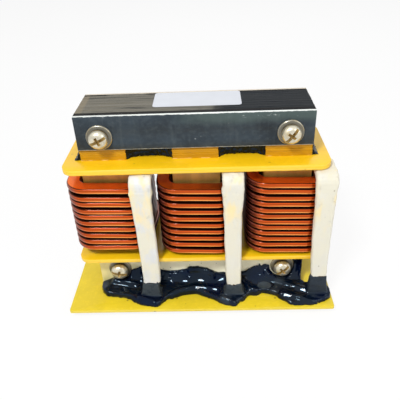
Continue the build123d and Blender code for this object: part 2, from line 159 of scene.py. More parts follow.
class Value:
    """A number that runs through a finish. Sums and products add the nodes for them."""

    def __init__(self, finish, socket):
        self.finish = finish
        self.socket = socket

    def math(self, operation, *others):
        return self.finish.node("ShaderNodeMath", {"operation": operation}, self, *others).value()

    def __add__(self, other):
        return self.math("ADD", other)

    __radd__ = __add__

    def __sub__(self, other):
        return self.math("SUBTRACT", other)

    def __rsub__(self, other):
        return self.finish.node("ShaderNodeMath", {"operation": "SUBTRACT"}, other, self).value()

    def __mul__(self, other):
        return self.math("MULTIPLY", other)

    __rmul__ = __mul__

    def __truediv__(self, other):
        return self.math("DIVIDE", other)

    def __pow__(self, other):
        return self.math("POWER", other)

    def most(self, other):
        return self.math("MAXIMUM", other)

    def least(self, other):
        return self.math("MINIMUM", other)

    def size(self):
        return self.math("ABSOLUTE")

    def floor(self):
        return self.math("FLOOR")

    def wave(self, pitch):
        return self.math("MULTIPLY", 2 * math.pi / pitch).math("SINE")

    def between(self, start, end):
        """Rises smoothly from 0 at start to 1 at end, whichever of the two is larger."""
        settings = {"interpolation_type": "SMOOTHSTEP"}
        rising = start < end
        ends = {"From Min": min(start, end), "From Max": max(start, end)}
        ends.update({"To Min": 0.0 if rising else 1.0, "To Max": 1.0 if rising else 0.0})
        return self.finish.node("ShaderNodeMapRange", settings, Value=self, **ends).value()


class Step:
    """A node in a finish, with its outputs by name or number."""

    def __init__(self, finish, node):
        self.finish = finish
        self.node = node

    def out(self, which=0):
        return self.node.outputs[which]

    def value(self, which=0):
        return Value(self.finish, self.out(which))


class Finish:
    """A material in the making. Places are in millimetres in the reactor's own frame."""

    def __init__(self, name, **fixed):
        self.material = bpy.data.materials.new(name)
        self.material.use_nodes = True
        self.tree = self.material.node_tree
        self.shader = self.tree.nodes["Principled BSDF"]
        self.where = None
        self.tone = None
        self.set(**fixed)

    def node(self, kind, settings=None, *values, **named):
        node = self.tree.nodes.new(kind)
        for key, value in (settings or {}).items():
            setattr(node, key, value)
        sockets = [s for s in node.inputs if s.enabled]
        pairs = list(zip(sockets, values)) + [(node.inputs[key], value) for key, value in named.items()]
        for socket, value in pairs:
            self.feed(socket, value)
        return Step(self, node)

    def feed(self, socket, value):
        if isinstance(value, Value):
            value = value.socket
        if isinstance(value, bpy.types.NodeSocket):
            self.tree.links.new(value, socket)
        elif hasattr(value, "__len__") and socket.type == "RGBA" and len(value) == 3:
            socket.default_value = (*value, 1)
        else:
            socket.default_value = value

    def set(self, **sockets):
        for name, value in sockets.items():
            self.feed(self.shader.inputs[name.replace("_", " ")], value)

    def place(self, stretch=(1, 1, 1), shift=(0, 0, 0)):
        """Object coordinates in millimetres, stretched and shifted."""
        if self.where is None:
            self.where = self.node("ShaderNodeTexCoord").out("Object")
        scale = [s / MM for s in stretch]
        settings = {"operation": "MULTIPLY_ADD"}
        return self.node("ShaderNodeVectorMath", settings, self.where, scale, shift).out()

    def part(self, vector, index):
        return self.node("ShaderNodeSeparateXYZ", None, vector).value(index)

    def axis(self, index):
        return self.part(self.place(), index)

    def normal(self, index):
        """One part of the flat face's normal in the piece's own frame."""
        facing = self.node("ShaderNodeNewGeometry").out("True Normal")
        ways = {"vector_type": "NORMAL", "convert_from": "WORLD", "convert_to": "OBJECT"}
        return self.part(self.node("ShaderNodeVectorTransform", ways, facing).out(), index)

    def slope(self, index):
        """One part of the smoothed normal: 1 where the surface faces along that axis, -1 against it."""
        return self.part(self.node("ShaderNodeNewGeometry").out("Normal"), index)

    def noise(self, scale, detail=3.0, rough=0.5, stretch=(1, 1, 1), shift=(0, 0, 0)):
        sockets = {"Vector": self.place(stretch, shift), "Scale": scale, "Detail": detail, "Roughness": rough}
        return self.node("ShaderNodeTexNoise", None, **sockets).value()

    def specks(self, scale, size, keep, shift=(0, 0, 0)):
        """Small scattered dots: keep is the share of cells that get one."""
        cells = self.node("ShaderNodeTexVoronoi", None, Vector=self.place(shift=shift), Scale=scale)
        chosen = self.node("ShaderNodeSeparateColor", None, cells.out("Color")).value()
        return cells.value("Distance").between(size, size * 0.5) * chosen.between(keep, keep - 0.01)

    def blend(self, factor, first, second):
        mix = self.tree.nodes.new("ShaderNodeMix")
        mix.data_type = "RGBA"
        mix.clamp_factor = True
        for index, value in ((0, factor), (6, first), (7, second)):
            self.feed(mix.inputs[index], value)
        return mix.outputs[2]

    def start(self, factor, first, second):
        """Starts the finish's colour as a blend of two."""
        self.tone = self.blend(factor, first, second)

    def over(self, factor, tint):
        """Lays one more colour over the finish, as thickly as the factor says."""
        self.tone = self.blend(factor, self.tone, tint)

    def complete(self, height, depth, **sockets):
        """Feeds the shader: the colour, a bump with its depth in millimetres, and what else is given."""
        bump = self.node("ShaderNodeBump", None, Height=height, Distance=depth * MM, Strength=1.0)
        self.set(Base_Color=self.tone, Normal=bump.out(), **sockets)

    def wear(self, *pieces):
        for piece in pieces:
            piece.data.materials.clear()
            piece.data.materials.append(self.material)


def board_finish(name, tint, streaks, grime):
    """Glass-epoxy board: a faint weave, cloudy tint, paler cut edges, scratches and a little dirt."""
    f = Finish(name, IOR=1.5)
    cloud = f.noise(0.05, 4, 0.6)
    fine = f.noise(0.6, 3, 0.6, shift=(31, 7, 3))
    f.start(cloud.between(0.3, 0.75), shade(tint, 0.86), tint)
    f.over(fine.between(0.45, 0.8) * 0.35, shade(tint, 1.12))
    edge = f.normal(2).size().between(0.7, 0.3)
    layers = f.noise(1.0, 2, 0.5, (0.02, 0.02, 6.0))
    f.over(edge * 0.55, shade(tint, 0.95))
    f.over(edge * layers.between(0.45, 0.65) * 0.3, srgb(236, 226, 150))
    scratch = f.noise(0.25, 6, 0.75, (streaks[0], streaks[1], 1.0), (5, 61, 2)).between(0.60, 0.72)
    f.over(scratch * 0.22, srgb(255, 244, 190))
    dirt = f.noise(0.11, 5, 0.7, shift=(80, 4, 9)).between(0.60, 0.78) * grime
    f.over(dirt, srgb(150, 118, 30))
    dots = f.specks(0.22, 0.16, 0.25, (3, 9, 5)) * min(1.0, grime * 2.2)
    f.over(dots, srgb(70, 60, 30))
    weave = f.axis(0).wave(WEAVE) * f.axis(1).wave(WEAVE)
    f.complete(
        weave * 0.25 + f.noise(2.0, 3, 0.6) * 0.6 + scratch * 0.2,
        0.012,
        Roughness=fine * 0.12 + 0.30 + dirt * 0.3 + edge * 0.15,
    )
    return f


def copper_finish(name, tint):
    """Copper under a clear enamel: orange with painted highlight lines on the crown of the wire, and deep red
    painted shade towards its edges, its sides and the gaps between turns; each coil's middle is painted
    lighter.
    """
    f = Finish(name, Coat_Roughness=0.1, Coat_IOR=1.5)
    streak = f.noise(1.0, 3, 0.5, (0.03, 0.03, 0.8))
    cloud = f.noise(0.09, 3, 0.5, shift=(12, 4, 8))
    up = f.slope(2)
    outer = f.axis(0).size().between(42, 48)
    # Painted shade: this masks the coils' left and right sides, which are painted dark maroon, a little less
    # at the outermost ends.
    side = f.slope(0).size().between(0.25, 0.8) * (1 - outer * 0.3)
    f.start(streak.between(0.3, 0.7), shade(tint, 0.8), tint)
    f.over(cloud.between(0.45, 0.75) * 0.4, shade(tint, 1.2))
    # Painted shade: a darker line across the upper half of the wire's face.
    f.over(up.between(-0.08, 0.03) * up.between(0.24, 0.1) * 0.8, shade(tint, 0.4))
    # Painted light: shine is a painted highlight, strongest at each coil's middle; away from it the copper
    # gets painted shade.
    lit_x = 1.5
    left, centre, right = ((f.axis(0) - limb / MM - lit_x).size() for limb in LIMB_XS)
    shine = (left.least(centre).least(right) + cloud * 4).between(15, 4)
    f.over((1 - shine) * 0.35, shade(tint, 0.45))
    # Painted highlights: a bright orange line and a pale pink line across the lower half of the wire's face.
    f.over(up.between(-0.02, -0.14) * (shine * 0.65 + 0.2), srgb(255, 172, 78))
    f.over(up.between(-0.2, -0.34) * (shine * 0.7 + 0.2), srgb(255, 178, 118))
    # Painted shade: near-black on the wire's underside and upper shoulder, where the gaps between turns fall
    # in shade.
    f.over(up.between(-0.4, -0.58), shade(tint, 0.04))
    f.over(up.between(0.34, 0.6) * 0.96, shade(tint, 0.06))
    f.over(side * 0.95, srgb(52, 12, 12))
    # Painted reflection: pale pink lines along the wire's edges on the coils' sides.
    rim = up.size().between(0.2, 0.36) * up.size().between(0.62, 0.46)
    f.over(rim * side * 0.5, srgb(200, 116, 96))
    # Painted light: the upper face of the top turn, in shade under the top board, is painted bright orange.
    ceiling = low("top_board").z / MM
    last = up.between(0.93, 0.99) * f.axis(2).between(ceiling - 9, ceiling - 7)
    f.over(last * 0.92, srgb(250, 118, 34))
    f.over(f.specks(0.35, 0.22, 0.06) * 0.5, srgb(90, 30, 12))
    f.complete(
        streak,
        0.004,
        Roughness=streak * 0.1 + 0.2 + side * 0.15,
        Metallic=0.85 - side * 0.6,
        Coat_Weight=0.2 - side * 0.12,
    )
    return f


def sleeve_finish(name, tint):
    """Woven sleeving stiff with a clear lacquer: cream, stained yellow and grey, with a fine braid."""
    f = Finish(name, Coat_Roughness=0.3, Sheen_Weight=0.05)
    x, z = f.axis(0), f.axis(2)
    stain = f.noise(0.16, 4, 0.65, (1, 1, 0.7), (4, 9, 2))
    yellow = f.noise(0.11, 3, 0.55, (1.4, 1.4, 0.6), (41, 3, 77))
    fine = f.noise(1.3, 3, 0.6)
    first = x.between(-8, -14) * 0.6 + 0.25
    f.start(stain.between(0.42, 0.62) * first, tint, srgb(206, 208, 210))
    f.over(yellow.between(0.5, 0.68) * z.between(30, 52) * 0.8, srgb(236, 214, 150))
    f.over(fine.between(0.55, 0.8) * 0.3, srgb(206, 196, 168))
    smudge = f.noise(0.3, 3, 0.6, (1, 1, 0.8), (3, 3, 50)).between(0.56, 0.72) * z.between(34, 44)
    f.over(smudge * 0.35, srgb(168, 164, 150))
    grime = f.specks(0.55, 0.22, 0.3, (1, 0, 4)) * (z.between(18, 11) * 0.8).most(smudge)
    f.over(grime * 0.7, srgb(112, 100, 80))
    f.over(f.specks(0.4, 0.16, 0.07) * 0.6, srgb(120, 104, 78))
    across = (x + z).wave(BRAID)
    back = (x - z).wave(BRAID)
    f.complete(
        across.most(back) * 0.35 + f.noise(0.5, 4, 0.6) * 2.0,
        0.05,
        Roughness=fine * 0.2 + 0.42,
        Coat_Weight=0.12,
    )
    return f


def resin_finish(name, tint, feet=()):
    """Poured dark resin: deep blue-black and wet-looking, with a painted teal sheen where glossiest, dull
    round the lead feet and where touched.
    """
    f = Finish(name, IOR=1.5, Specular_IOR_Level=0.2, Specular_Tint=(0.55, 0.8, 1, 1), Coat_Roughness=0.04)
    x, y, z = f.axis(0), f.axis(1), f.axis(2)
    cloud = f.noise(0.1, 2, 0.4)
    fine = f.noise(1.1, 3, 0.6)
    grain = f.noise(0.7, 5, 0.75, shift=(3, 8, 1))
    wet = f.noise(0.075, 2, 0.4, shift=(21, 2, 6)).between(0.42, 0.62)
    dull = f.noise(0.07, 2, 0.4, shift=(9, 14, 2)).between(0.66, 0.72) * 0.4
    wire_half = 1.2
    lead_y = high("coil_left").y / MM - wire_half
    for foot in feet:
        near = (x - foot / MM).size().between(4.9, 4.3) * (y.size() - lead_y).size().between(2.9, 2.4)
        share = 0.95 if foot < feet[-1] else 0.45
        dull = dull.most(near * (z + grain * 1.6).between(4.0, 5.6) * share)
    f.start(cloud.between(0.35, 0.75), tint, shade(tint, 1.9))
    # Painted sheen: a teal tone laid where the resin is glossiest; the higher coat weight there is real
    # gloss.
    f.over(wet * 0.5, srgb(5, 18, 26))
    if feet:
        touched_x, touched_y, half_x, half_y = 29.5, 19.0, 3.3, 1.9
        patch = ((x - touched_x) / half_x) ** 2 + ((y.size() - touched_y) / half_y) ** 2
        dull = dull.most(patch.between(1.1, 0.8) * 0.8)
    f.over(dull, srgb(58, 64, 68))
    f.over(dull * grain.between(0.5, 0.62) * 0.5, srgb(24, 30, 34))
    coat = (wet * 0.12 + 0.05 + x.between(6, 14) * 0.1) * (1 - dull * 0.8)
    f.complete(
        f.noise(0.17, 1, 0.3) + fine * dull * 0.4,
        0.5,
        Roughness=cloud * 0.05 + 0.05 + dull * 0.45,
        Coat_Weight=coat,
    )
    return f


def steel_finish(name, tint, reflection_shade, sheet):
    """Stacked lamination edges: each sheet a tone of its own, rubbed bright toward the left; toward the right
    a dark tone is laid on as a painted reflection, with painted glints and painted shadow lines along the
    front and rear edges.
    """
    f = Finish(name, Specular_IOR_Level=0.06)
    row = (f.axis(1) / (sheet / MM)).floor()
    tone_of_row = f.node("ShaderNodeTexWhiteNoise", {"noise_dimensions": "1D"}, W=row).value(0)
    streak = f.noise(1.0, 4, 0.65, (0.05, 0.9, 0.4))
    x = f.axis(0)
    # Painted reflection: coat masks a dark tone that grows toward the right end of the top, standing in for a
    # dark reflection.
    coat = (x * 0.045 + f.noise(0.07, 3, 0.6) * 1.6 - 0.95).between(0.0, 0.5)
    seam = f.noise(1.0, 3, 0.6, (0.03, 0.75, 0.02), (0, 3, 0))
    f.start(tone_of_row * 0.6, shade(tint, 1.2), shade(tint, 0.6))
    f.over(seam.between(0.56, 0.62) * 0.75, srgb(44, 46, 46))
    f.over(streak.between(0.55, 0.8) * 0.5, srgb(128, 116, 92))
    f.over(streak.between(0.42, 0.3) * 0.5, srgb(50, 50, 50))
    end = (x + f.noise(0.4, 3, 0.6) * 1.2).between(-43.6, -44.6)
    f.over(end * 0.45, srgb(138, 126, 104))
    # Painted reflection: the dark tone is laid where coat is high.
    f.over(coat * 0.93, reflection_shade)
    glint = f.noise(0.8, 5, 0.7, (0.25, 2.0, 1)).between(0.68, 0.76)
    f.over(glint * 0.35 * (1 - coat * 0.6), srgb(150, 150, 150))
    # Painted shadow: near-black lines along the top's front edge and, broken, along its rear edge, where the
    # gaps to the facing plates fall in shade.
    lip = YOKE_Y / MM
    front = (f.axis(1) + streak * 1.6).between(3.6 - lip, 3.2 - lip)
    f.over(front * 0.95, srgb(10, 11, 13))
    rear = (f.axis(1) - streak * 1.6).between(lip - 2.8, lip - 2.2)
    broken = f.noise(0.06, 2, 0.5).between(0.36, 0.44)
    f.over(rear * broken * 0.95, srgb(10, 11, 13))
    f.complete(
        streak + tone_of_row * 0.4 - seam.between(0.56, 0.62) * 0.5,
        0.03,
        Roughness=streak * 0.2 + 0.45,
        Metallic=(1 - coat) * 0.1,
    )
    return f


def slate_finish(name, tint):
    """Blue-grey coated plate: mottled, with its edges rubbed to bright metal and a few chips."""
    f = Finish(name, Coat_Roughness=0.35, Specular_IOR_Level=0.22)
    cloud = f.noise(0.07, 5, 0.65)
    fine = f.noise(0.5, 5, 0.7, (1, 1, 1.3))
    top = high("top_yoke").z / MM
    bottom = low("top_yoke").z / MM
    x, z = f.axis(0), f.axis(2)
    f.start(cloud.between(0.3, 0.7), shade(tint, 0.62), shade(tint, 1.18))
    f.over(fine.between(0.45, 0.75) * 0.45, srgb(70, 79, 84))
    f.over(fine.between(0.42, 0.28) * 0.35, srgb(28, 34, 42))
    rub = f.noise(1.0, 4, 0.7, (0.35, 0.35, 0.03), (6, 0, 0))
    f.over(rub.between(0.52, 0.7) * 0.2, srgb(84, 92, 94))
    f.over((x + cloud * 24).between(-32, -44) * 0.35, srgb(46, 48, 48))
    band = (z + cloud * 5).between(top - 3.5, top + 0.5) * (x + cloud * 20).between(-2, 18)
    f.over(band * 0.5, srgb(84, 100, 94))
    ragged = f.noise(0.45, 4, 0.7, (1, 0.2, 1))
    rim = (z + ragged * 0.9).between(top + 0.12, top + 0.35)
    chips = f.noise(0.5, 4, 0.8, (0.7, 0.3, 1.4), (7, 3, 1)).between(0.60, 0.66)
    chips = chips * z.between(top - 3.2, top - 0.6)
    sill = (z - ragged * 0.5).between(bottom + 0.1, bottom - 0.12) * 0.5
    bare = rim.most(sill).most(f.normal(2).between(0.5, 0.8)).most(chips * x.between(12, 24) * 0.6)
    rubbed = f.blend(f.axis(1).between(0, 1) * 0.7, srgb(226, 230, 226), srgb(190, 170, 140))
    f.over(bare * 0.92, rubbed)
    f.over(f.specks(0.45, 0.16, 0.06, (2, 2, 2)) * 0.45, srgb(160, 166, 168))
    f.complete(
        fine * 0.5 + cloud * 0.5 - bare * 0.4,
        0.03,
        Roughness=fine * 0.15 + 0.45 - bare * 0.1,
        Metallic=bare * 0.3,
        Coat_Weight=0.08,
    )
    return f


def plating_finish(name, tint, worn=0.0, shaded_face=False):
    """Plated steel, a touch yellow: worn makes it browner; for washers the flat faces get painted shade,
    leaving only the rim bright.
    """
    f = Finish(name, Coat_Roughness=0.1)
    cloud = f.noise(0.5, 4, 0.6)
    yellow = f.noise(0.28, 3, 0.6, shift=(7, 7, 1))
    f.start(cloud.between(0.35, 0.7), shade(tint, 0.82), shade(tint, 1.1))
    f.over(yellow.between(0.5, 0.72) * 0.5, srgb(206, 172, 96))
    f.over(worn * cloud.between(0.15, 0.4), srgb(150, 118, 40))
    # Painted shade: a washer's flat faces, turned along Y, are painted dark, so only its rim stays bright.
    if shaded_face:
        f.over(f.slope(1).size().between(0.75, 0.97) * 0.85, shade(tint, 0.32))
    f.complete(
        cloud + f.noise(2.5, 3, 0.6) * 0.4,
        0.02,
        Roughness=cloud * 0.18 + 0.22 + 0.25 * worn,
        Metallic=0.75 - 0.35 * worn,
    )
    return f


def pale_board_finish(name, tint):
    """Pale board on the lower yoke: chalky cream, yellower at the ends, with resin smears and specks."""
    f = Finish(name, IOR=1.5)
    x = f.axis(0)
    cloud = f.noise(0.12, 4, 0.6)
    ends = (x.size() + cloud * 10).between(36, 50)
    f.start(cloud.between(0.3, 0.7) * 0.25, tint, srgb(214, 206, 160))
    f.over(ends * 0.6, srgb(226, 206, 92))
    smear = (x + cloud * 5).between(44.5, 46.2)
    f.over(f.specks(0.55, 0.2, 0.3) * 0.7, srgb(60, 58, 50))
    f.over(smear, srgb(20, 26, 42))
    green = f.noise(0.09, 3, 0.5, (1, 1, 2), (14, 2, 5)).between(0.52, 0.62)
    f.over(green * 0.4 * (1 - smear), srgb(214, 210, 120))
    f.complete(cloud + f.noise(1.2, 3, 0.6) * 0.4, 0.04, Roughness=cloud * 0.2 + 0.4 - smear * 0.3)
    return f


def gap_finish(name, tint):
    """Deep orange-yellow sheet with fine lines along its cut edges."""
    f = Finish(name, IOR=1.5)
    cloud = f.noise(0.12, 4, 0.6)
    lines = f.noise(1.0, 3, 0.6, (0.04, 0.04, 5))
    f.start(cloud.between(0.3, 0.7), shade(tint, 0.82), tint)
    f.over(lines.between(0.5, 0.68) * 0.45, srgb(150, 104, 4))
    foot = (f.axis(2) - low("gap_sheets_left").z / MM + cloud * 0.4).between(0.55, 0.35)
    f.over(foot * f.noise(0.3, 2, 0.5).between(0.42, 0.6) * 0.7, srgb(248, 226, 176))
    f.complete(lines + cloud * 0.3, 0.03, Roughness=cloud * 0.15 + 0.3)
    return f


def wrap_finish(name, tint):
    """Brown varnished tape with upright fibres."""
    f = Finish(name, Coat_Roughness=0.25)
    cloud = f.noise(0.15, 4, 0.6, (1, 1, 0.5))
    fibre = f.noise(1.0, 3, 0.6, (3, 3, 0.12))
    f.start(cloud.between(0.3, 0.7), shade(tint, 0.75), shade(tint, 1.15))
    f.over(fibre.between(0.45, 0.65) * 0.3, srgb(196, 168, 116))
    f.complete(fibre + cloud, 0.04, Roughness=cloud * 0.2 + 0.38, Coat_Weight=0.2)
    return f


def label_finish(name, tint):
    """Plain label stock, a little darker along its ends."""
    f = Finish(name, Coat_Roughness=0.3)
    cloud = f.noise(0.08, 3, 0.5)
    fine = f.noise(2.0, 3, 0.6)
    f.start(cloud.between(0.3, 0.7), shade(tint, 0.93), tint)
    rim = (f.axis(0) - middle("label").x / MM).size().between(17.4, 18.0)
    f.over(rim * 0.15, srgb(170, 170, 180))
    f.complete(cloud * 2 + fine * 0.2, 0.04, Roughness=fine * 0.12 + 0.36, Coat_Weight=0.15)
    return f


# Modelling helpers


def lone(piece):
    """Selects one object and makes it active."""
    bpy.ops.object.select_all(action="DESELECT")
    piece.select_set(True)
    bpy.context.view_layer.objects.active = piece
    return piece


@contextmanager
def editing(piece, mode, whole=False):
    """Edit mode on one piece, with nothing selected or the whole of it."""
    lone(piece)
    bpy.ops.object.mode_set(mode="EDIT")
    bpy.ops.mesh.select_mode(type=mode)
    bpy.ops.mesh.select_all(action="SELECT" if whole else "DESELECT")
    yield piece
    bpy.ops.object.mode_set(mode="OBJECT")


def pick(piece, kind, test):
    """In edit mode, selects just the verts, edges or faces that pass a test."""
    bpy.ops.mesh.select_all(action="DESELECT")
    mesh = bmesh.from_edit_mesh(piece.data)
    for item in getattr(mesh, kind):
        if test(item):
            item.select_set(True)
    mesh.select_flush_mode()
    bmesh.update_edit_mesh(piece.data)


def named(name):
    piece = bpy.context.active_object
    piece.name = name
    piece.data.name = name
    return piece


def settle(piece):
    lone(piece)
    bpy.ops.object.transform_apply(location=True, rotation=True, scale=True)
    return piece


def add_object(name, data):
    piece = bpy.data.objects.new(name, data)
    bpy.context.collection.objects.link(piece)
    return piece


def block(name, lowest, highest):
    lowest, highest = Vector(lowest), Vector(highest)
    bpy.ops.object.select_all(action="DESELECT")
    bpy.ops.mesh.primitive_cube_add(size=1, location=(lowest + highest) / 2)
    piece = named(name)
    piece.scale = highest - lowest
    return settle(piece)


def rod(name, radius, start, end, sides):
    """A closed cylinder from one point to another."""
    start, end = Vector(start), Vector(end)
    depth, centre = (end - start).length, (start + end) / 2
    bpy.ops.object.select_all(action="DESELECT")
    bpy.ops.mesh.primitive_cylinder_add(vertices=sides, radius=radius, depth=depth, location=centre)
    piece = named(name)
    piece.rotation_euler = (end - start).to_track_quat("Z", "Y").to_euler()
    return settle(piece)


def modify(piece, kind, **settings):
    lone(piece)
    modifier = piece.modifiers.new(kind.title(), kind)
    for key, value in settings.items():
        setattr(modifier, key, value)
    bpy.ops.object.modifier_apply(modifier=modifier.name)
    return piece


def soften(piece, width, segments=2, angle=35):
    limit = math.radians(angle)
    return modify(
        piece, "BEVEL", width=width, segments=segments, limit_method="ANGLE", angle_limit=limit
    )


def round_corners(piece, radius, segments):
    """Rounds the upright edges of a block, whatever its height."""
    heights = [v.co.z for v in piece.data.vertices]
    upright = (max(heights) - min(heights)) / 2
    with editing(piece, "EDGE"):
        pick(piece, "edges", lambda e: abs(e.verts[0].co.z - e.verts[1].co.z) > upright)
        bpy.ops.mesh.bevel(offset=radius, segments=segments, affect="EDGES")


def carve(piece, cutter, operation="DIFFERENCE"):
    modify(piece, "BOOLEAN", object=cutter, operation=operation, solver="EXACT")
    bpy.data.objects.remove(cutter)
    return piece


def joined(pieces, name):
    lone(pieces[0])
    for piece in pieces[1:]:
        piece.select_set(True)
    if len(pieces) > 1:
        bpy.ops.object.join()
    return named(name)


def twin(piece, name, moved):
    """A copy with its own mesh, put elsewhere."""
    copy = add_object(name, piece.data.copy())
    copy.data.name = name
    copy.data.transform(moved)
    return copy


def smooth(piece, angle=40):
    lone(piece)
    bpy.ops.object.shade_smooth_by_angle(angle=math.radians(angle))
    return piece


def outward(piece):
    with editing(piece, "FACE", whole=True):
        bpy.ops.mesh.normals_make_consistent(inside=False)
    return piece


def weld(piece):
    """Merges points that lie on one another and turns the faces outwards."""
    with editing(piece, "VERT", whole=True):
        bpy.ops.mesh.remove_doubles(threshold=1e-6)
        bpy.ops.mesh.normals_make_consistent(inside=False)
    return piece


def reshape(piece, move):
    """Moves every point: move takes its place in millimetres and its normal, and gives its new place."""
    points = [(v.co.copy() / MM, v.normal.copy()) for v in piece.data.vertices]
    for vertex, (at, normal) in zip(piece.data.vertices, points):
        vertex.co = move(at, normal) * MM
    piece.data.update()
    return piece


def kept_in(at, lowest, highest):
    return Vector(min(max(c, lo), hi) for c, lo, hi in zip(at, lowest, highest))


def hand_over(piece, finish, node, angle=40):
    """Smooths and coats a finished piece, and gives it to the frame in place of its CAD node."""
    smooth(piece, angle)
    if finish:
        finish.wear(piece)
    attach(piece, "root")
    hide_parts(node)


def copy_of(node, name):
    """A merged copy of a CAD node's mesh, as a start for a finer piece."""
    copy = add_object(name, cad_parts[node].data.copy())
    copy.data.name = name
    copy.data.materials.clear()
    with editing(copy, "VERT", whole=True):
        bpy.ops.mesh.remove_doubles(threshold=2e-6)
        bpy.ops.mesh.dissolve_limited(angle_limit=math.radians(0.5))
    return copy


def bore_places():
    """Where the four screws run, as (x, z)."""
    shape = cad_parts["screws"].data
    middle_z = middle("screws").z
    places = []
    for right in (False, True):
        for top in (False, True):
            own = [v.co for v in shape.vertices if (v.co.x > 0) == right and (v.co.z > middle_z) == top]
            xs = [c.x for c in own]
            zs = [c.z for c in own]
            places.append(((min(xs) + max(xs)) / 2, (min(zs) + max(zs)) / 2))
    return places


def drill(plate, x, z, front, back, sides):
    """Cuts a screw's hole, running along Y, into a plate."""
    carve(plate, rod("hole", HOLE_RADIUS, (x, front, z), (x, back, z), sides))


# Boards, plates and core


class REACTOR_OT_boards(bpy.types.Operator):
    """Cut and soften the base board, coil board and top board"""

    bl_idname = "reactor.boards"
    bl_label = "Insulating boards"

    def execute(self, context):
        sizes = context.scene.reactor_core
        winding = context.scene.reactor_winding
        tints = context.scene.reactor_colours
        yellow, base = tuple(tints.board), tuple(tints.base)
        plans = (
            ("base_board", sizes.base_corner, BASE_EDGE, "glass_epoxy_base", base, (0.15, 1.6), 0.25),
            (
                "coil_board",
                sizes.board_corner,
                sizes.board_edge,
                "glass_epoxy_yellow",
                yellow,
                (0.12, 1.8),
                0.12,
            ),
            (
                "top_board",
                sizes.board_corner,
                sizes.board_edge,
                "glass_epoxy_yellow",
                yellow,
                (0.12, 1.8),
                0.12,
            ),
        )
        for node, corner, edge, slot, tint, streaks, grime in plans:
            board = block(node + "_finished", low(node), high(node))
            round_corners(board, corner, 10)
            if node == "coil_board":
                cut_windows(board)
            if node == "base_board":
                cut_slots(board, winding.width / 2 + SLOT_PLAY, winding.thickness / 2 + SLOT_PLAY)
            soften(board, edge)
            hand_over(board, board_finish(node.replace("_", " "), tint, streaks, grime), node)
        return {"FINISHED"}


def cut_windows(board):
    """Lets the limbs through the coil board."""
    room = Vector((0.1, 0.1, 5)) * MM
    for side in SIDES:
        carve(board, block("window", low("limb_" + side) - room, high("limb_" + side) + room))


def cut_slots(board, half_x, half_y):
    """Lets the leads through the base board."""
    for x in LEAD_XS:
        for y in (low("coil_left").y + half_y - SLOT_PLAY, high("coil_left").y - half_y + SLOT_PLAY):
            carve(board, block("slot", (x - half_x, y - half_y, -1), (x + half_x, y + half_y, 0.01)))


def lamination_stack(name, node, sizes, holes, seed):
    """A pile of laminations along Y, each lying a hair off its neighbours."""
    lo, hi = low(node), high(node)
    burr = sizes.burr
    count = round((hi.y - lo.y) / sizes.sheet)
    pitch = (hi.y - lo.y) / count
    first = block(name, (lo.x + burr, lo.y, lo.z), (hi.x - burr, lo.y + pitch * 0.93, hi.z - burr))
    for x, z in holes:
        drill(first, x, z, lo.y - MM, lo.y + MM, 24)
    soften(first, 0.05 * MM, 1)
    chance = random.Random(seed)
    sheets = []
    for k in range(count):
        shift = (chance.uniform(-burr, burr), k * pitch, chance.uniform(-0.2, 1) * burr)
        sheets.append(twin(first, name, Matrix.Translation(shift)))
    bpy.data.objects.remove(first)
    return joined(sheets, name)


class REACTOR_OT_core(bpy.types.Operator):
    """Stack the laminations of the limbs and the two yokes"""

    bl_idname = "reactor.core"
    bl_label = "Laminated core"

    def execute(self, context):
        sizes = context.scene.reactor_core
        tints = context.scene.reactor_colours
        finish = steel_finish("lamination edges", tuple(tints.steel), tuple(tints.reflection_shade), sizes.sheet)
        nodes = ("top_yoke", "lower_yoke", "limb_left", "limb_middle", "limb_right")
        for seed, node in enumerate(nodes, 11):
            lo, hi = low(node), high(node)
            holes = [(x, z) for x, z in bore_places() if lo.z < z < hi.z and "yoke" in node]
            stack = lamination_stack(node + "_stack", node, sizes, holes, seed)
            hand_over(stack, finish, node, 30)
        return {"FINISHED"}


class REACTOR_OT_facings(bpy.types.Operator):
    """Make the facing plates and boards on the front and rear of both yokes"""

    bl_idname = "reactor.facings"
    bl_label = "Yoke facings"

    def execute(self, context):
        edge = context.scene.reactor_core.plate_edge
        tints = context.scene.reactor_colours
        slate = slate_finish("slate coating", tuple(tints.slate))
        pale = pale_board_finish("pale facing board", tuple(tints.pale))
        for yoke, finish, slot in (("top", slate, "slate_plate"), ("lower", pale, "glass_epoxy_pale")):
            for face in ("_face_front", "_face_rear"):
                node = yoke + face
                lo, hi = low(node), high(node)
                plate = block(node + "_plate", lo, hi)
                for x, z in bore_places():
                    if lo.z < z < hi.z:
                        drill(plate, x, z, lo.y - MM, hi.y + MM, 32)
                soften(plate, edge)
                hand_over(plate, finish, node)
        return {"FINISHED"}


class REACTOR_OT_gap_sheets(bpy.types.Operator):
    """Lay the sheets of the three air gaps"""

    bl_idname = "reactor.gap_sheets"
    bl_label = "Air-gap sheets"

    def execute(self, context):
        finish = gap_finish("gap sheet", tuple(context.scene.reactor_colours.gap))
        chance = random.Random(5)
        sheets_a_gap = 5
        play_x, play_y = 0.16, 0.2
        for side in SIDES:
            node = "gap_sheets_" + side
            lo, hi = low(node), high(node)
            step = (hi.z - lo.z) / sheets_a_gap
            sheets = []
            for k in range(sheets_a_gap):
                dx = chance.uniform(0, play_x) * MM
                dy = chance.uniform(0, play_y) * MM
                lowest = (lo.x + dx, lo.y + dy, lo.z + k * step)
                highest = (hi.x - play_x * MM + dx, hi.y - play_y * MM + dy, lo.z + (k + 1) * step)
                sheets.append(soften(block(node, lowest, highest), 0.09 * MM))
            hand_over(joined(sheets, node + "_pile"), finish, node)
        return {"FINISHED"}


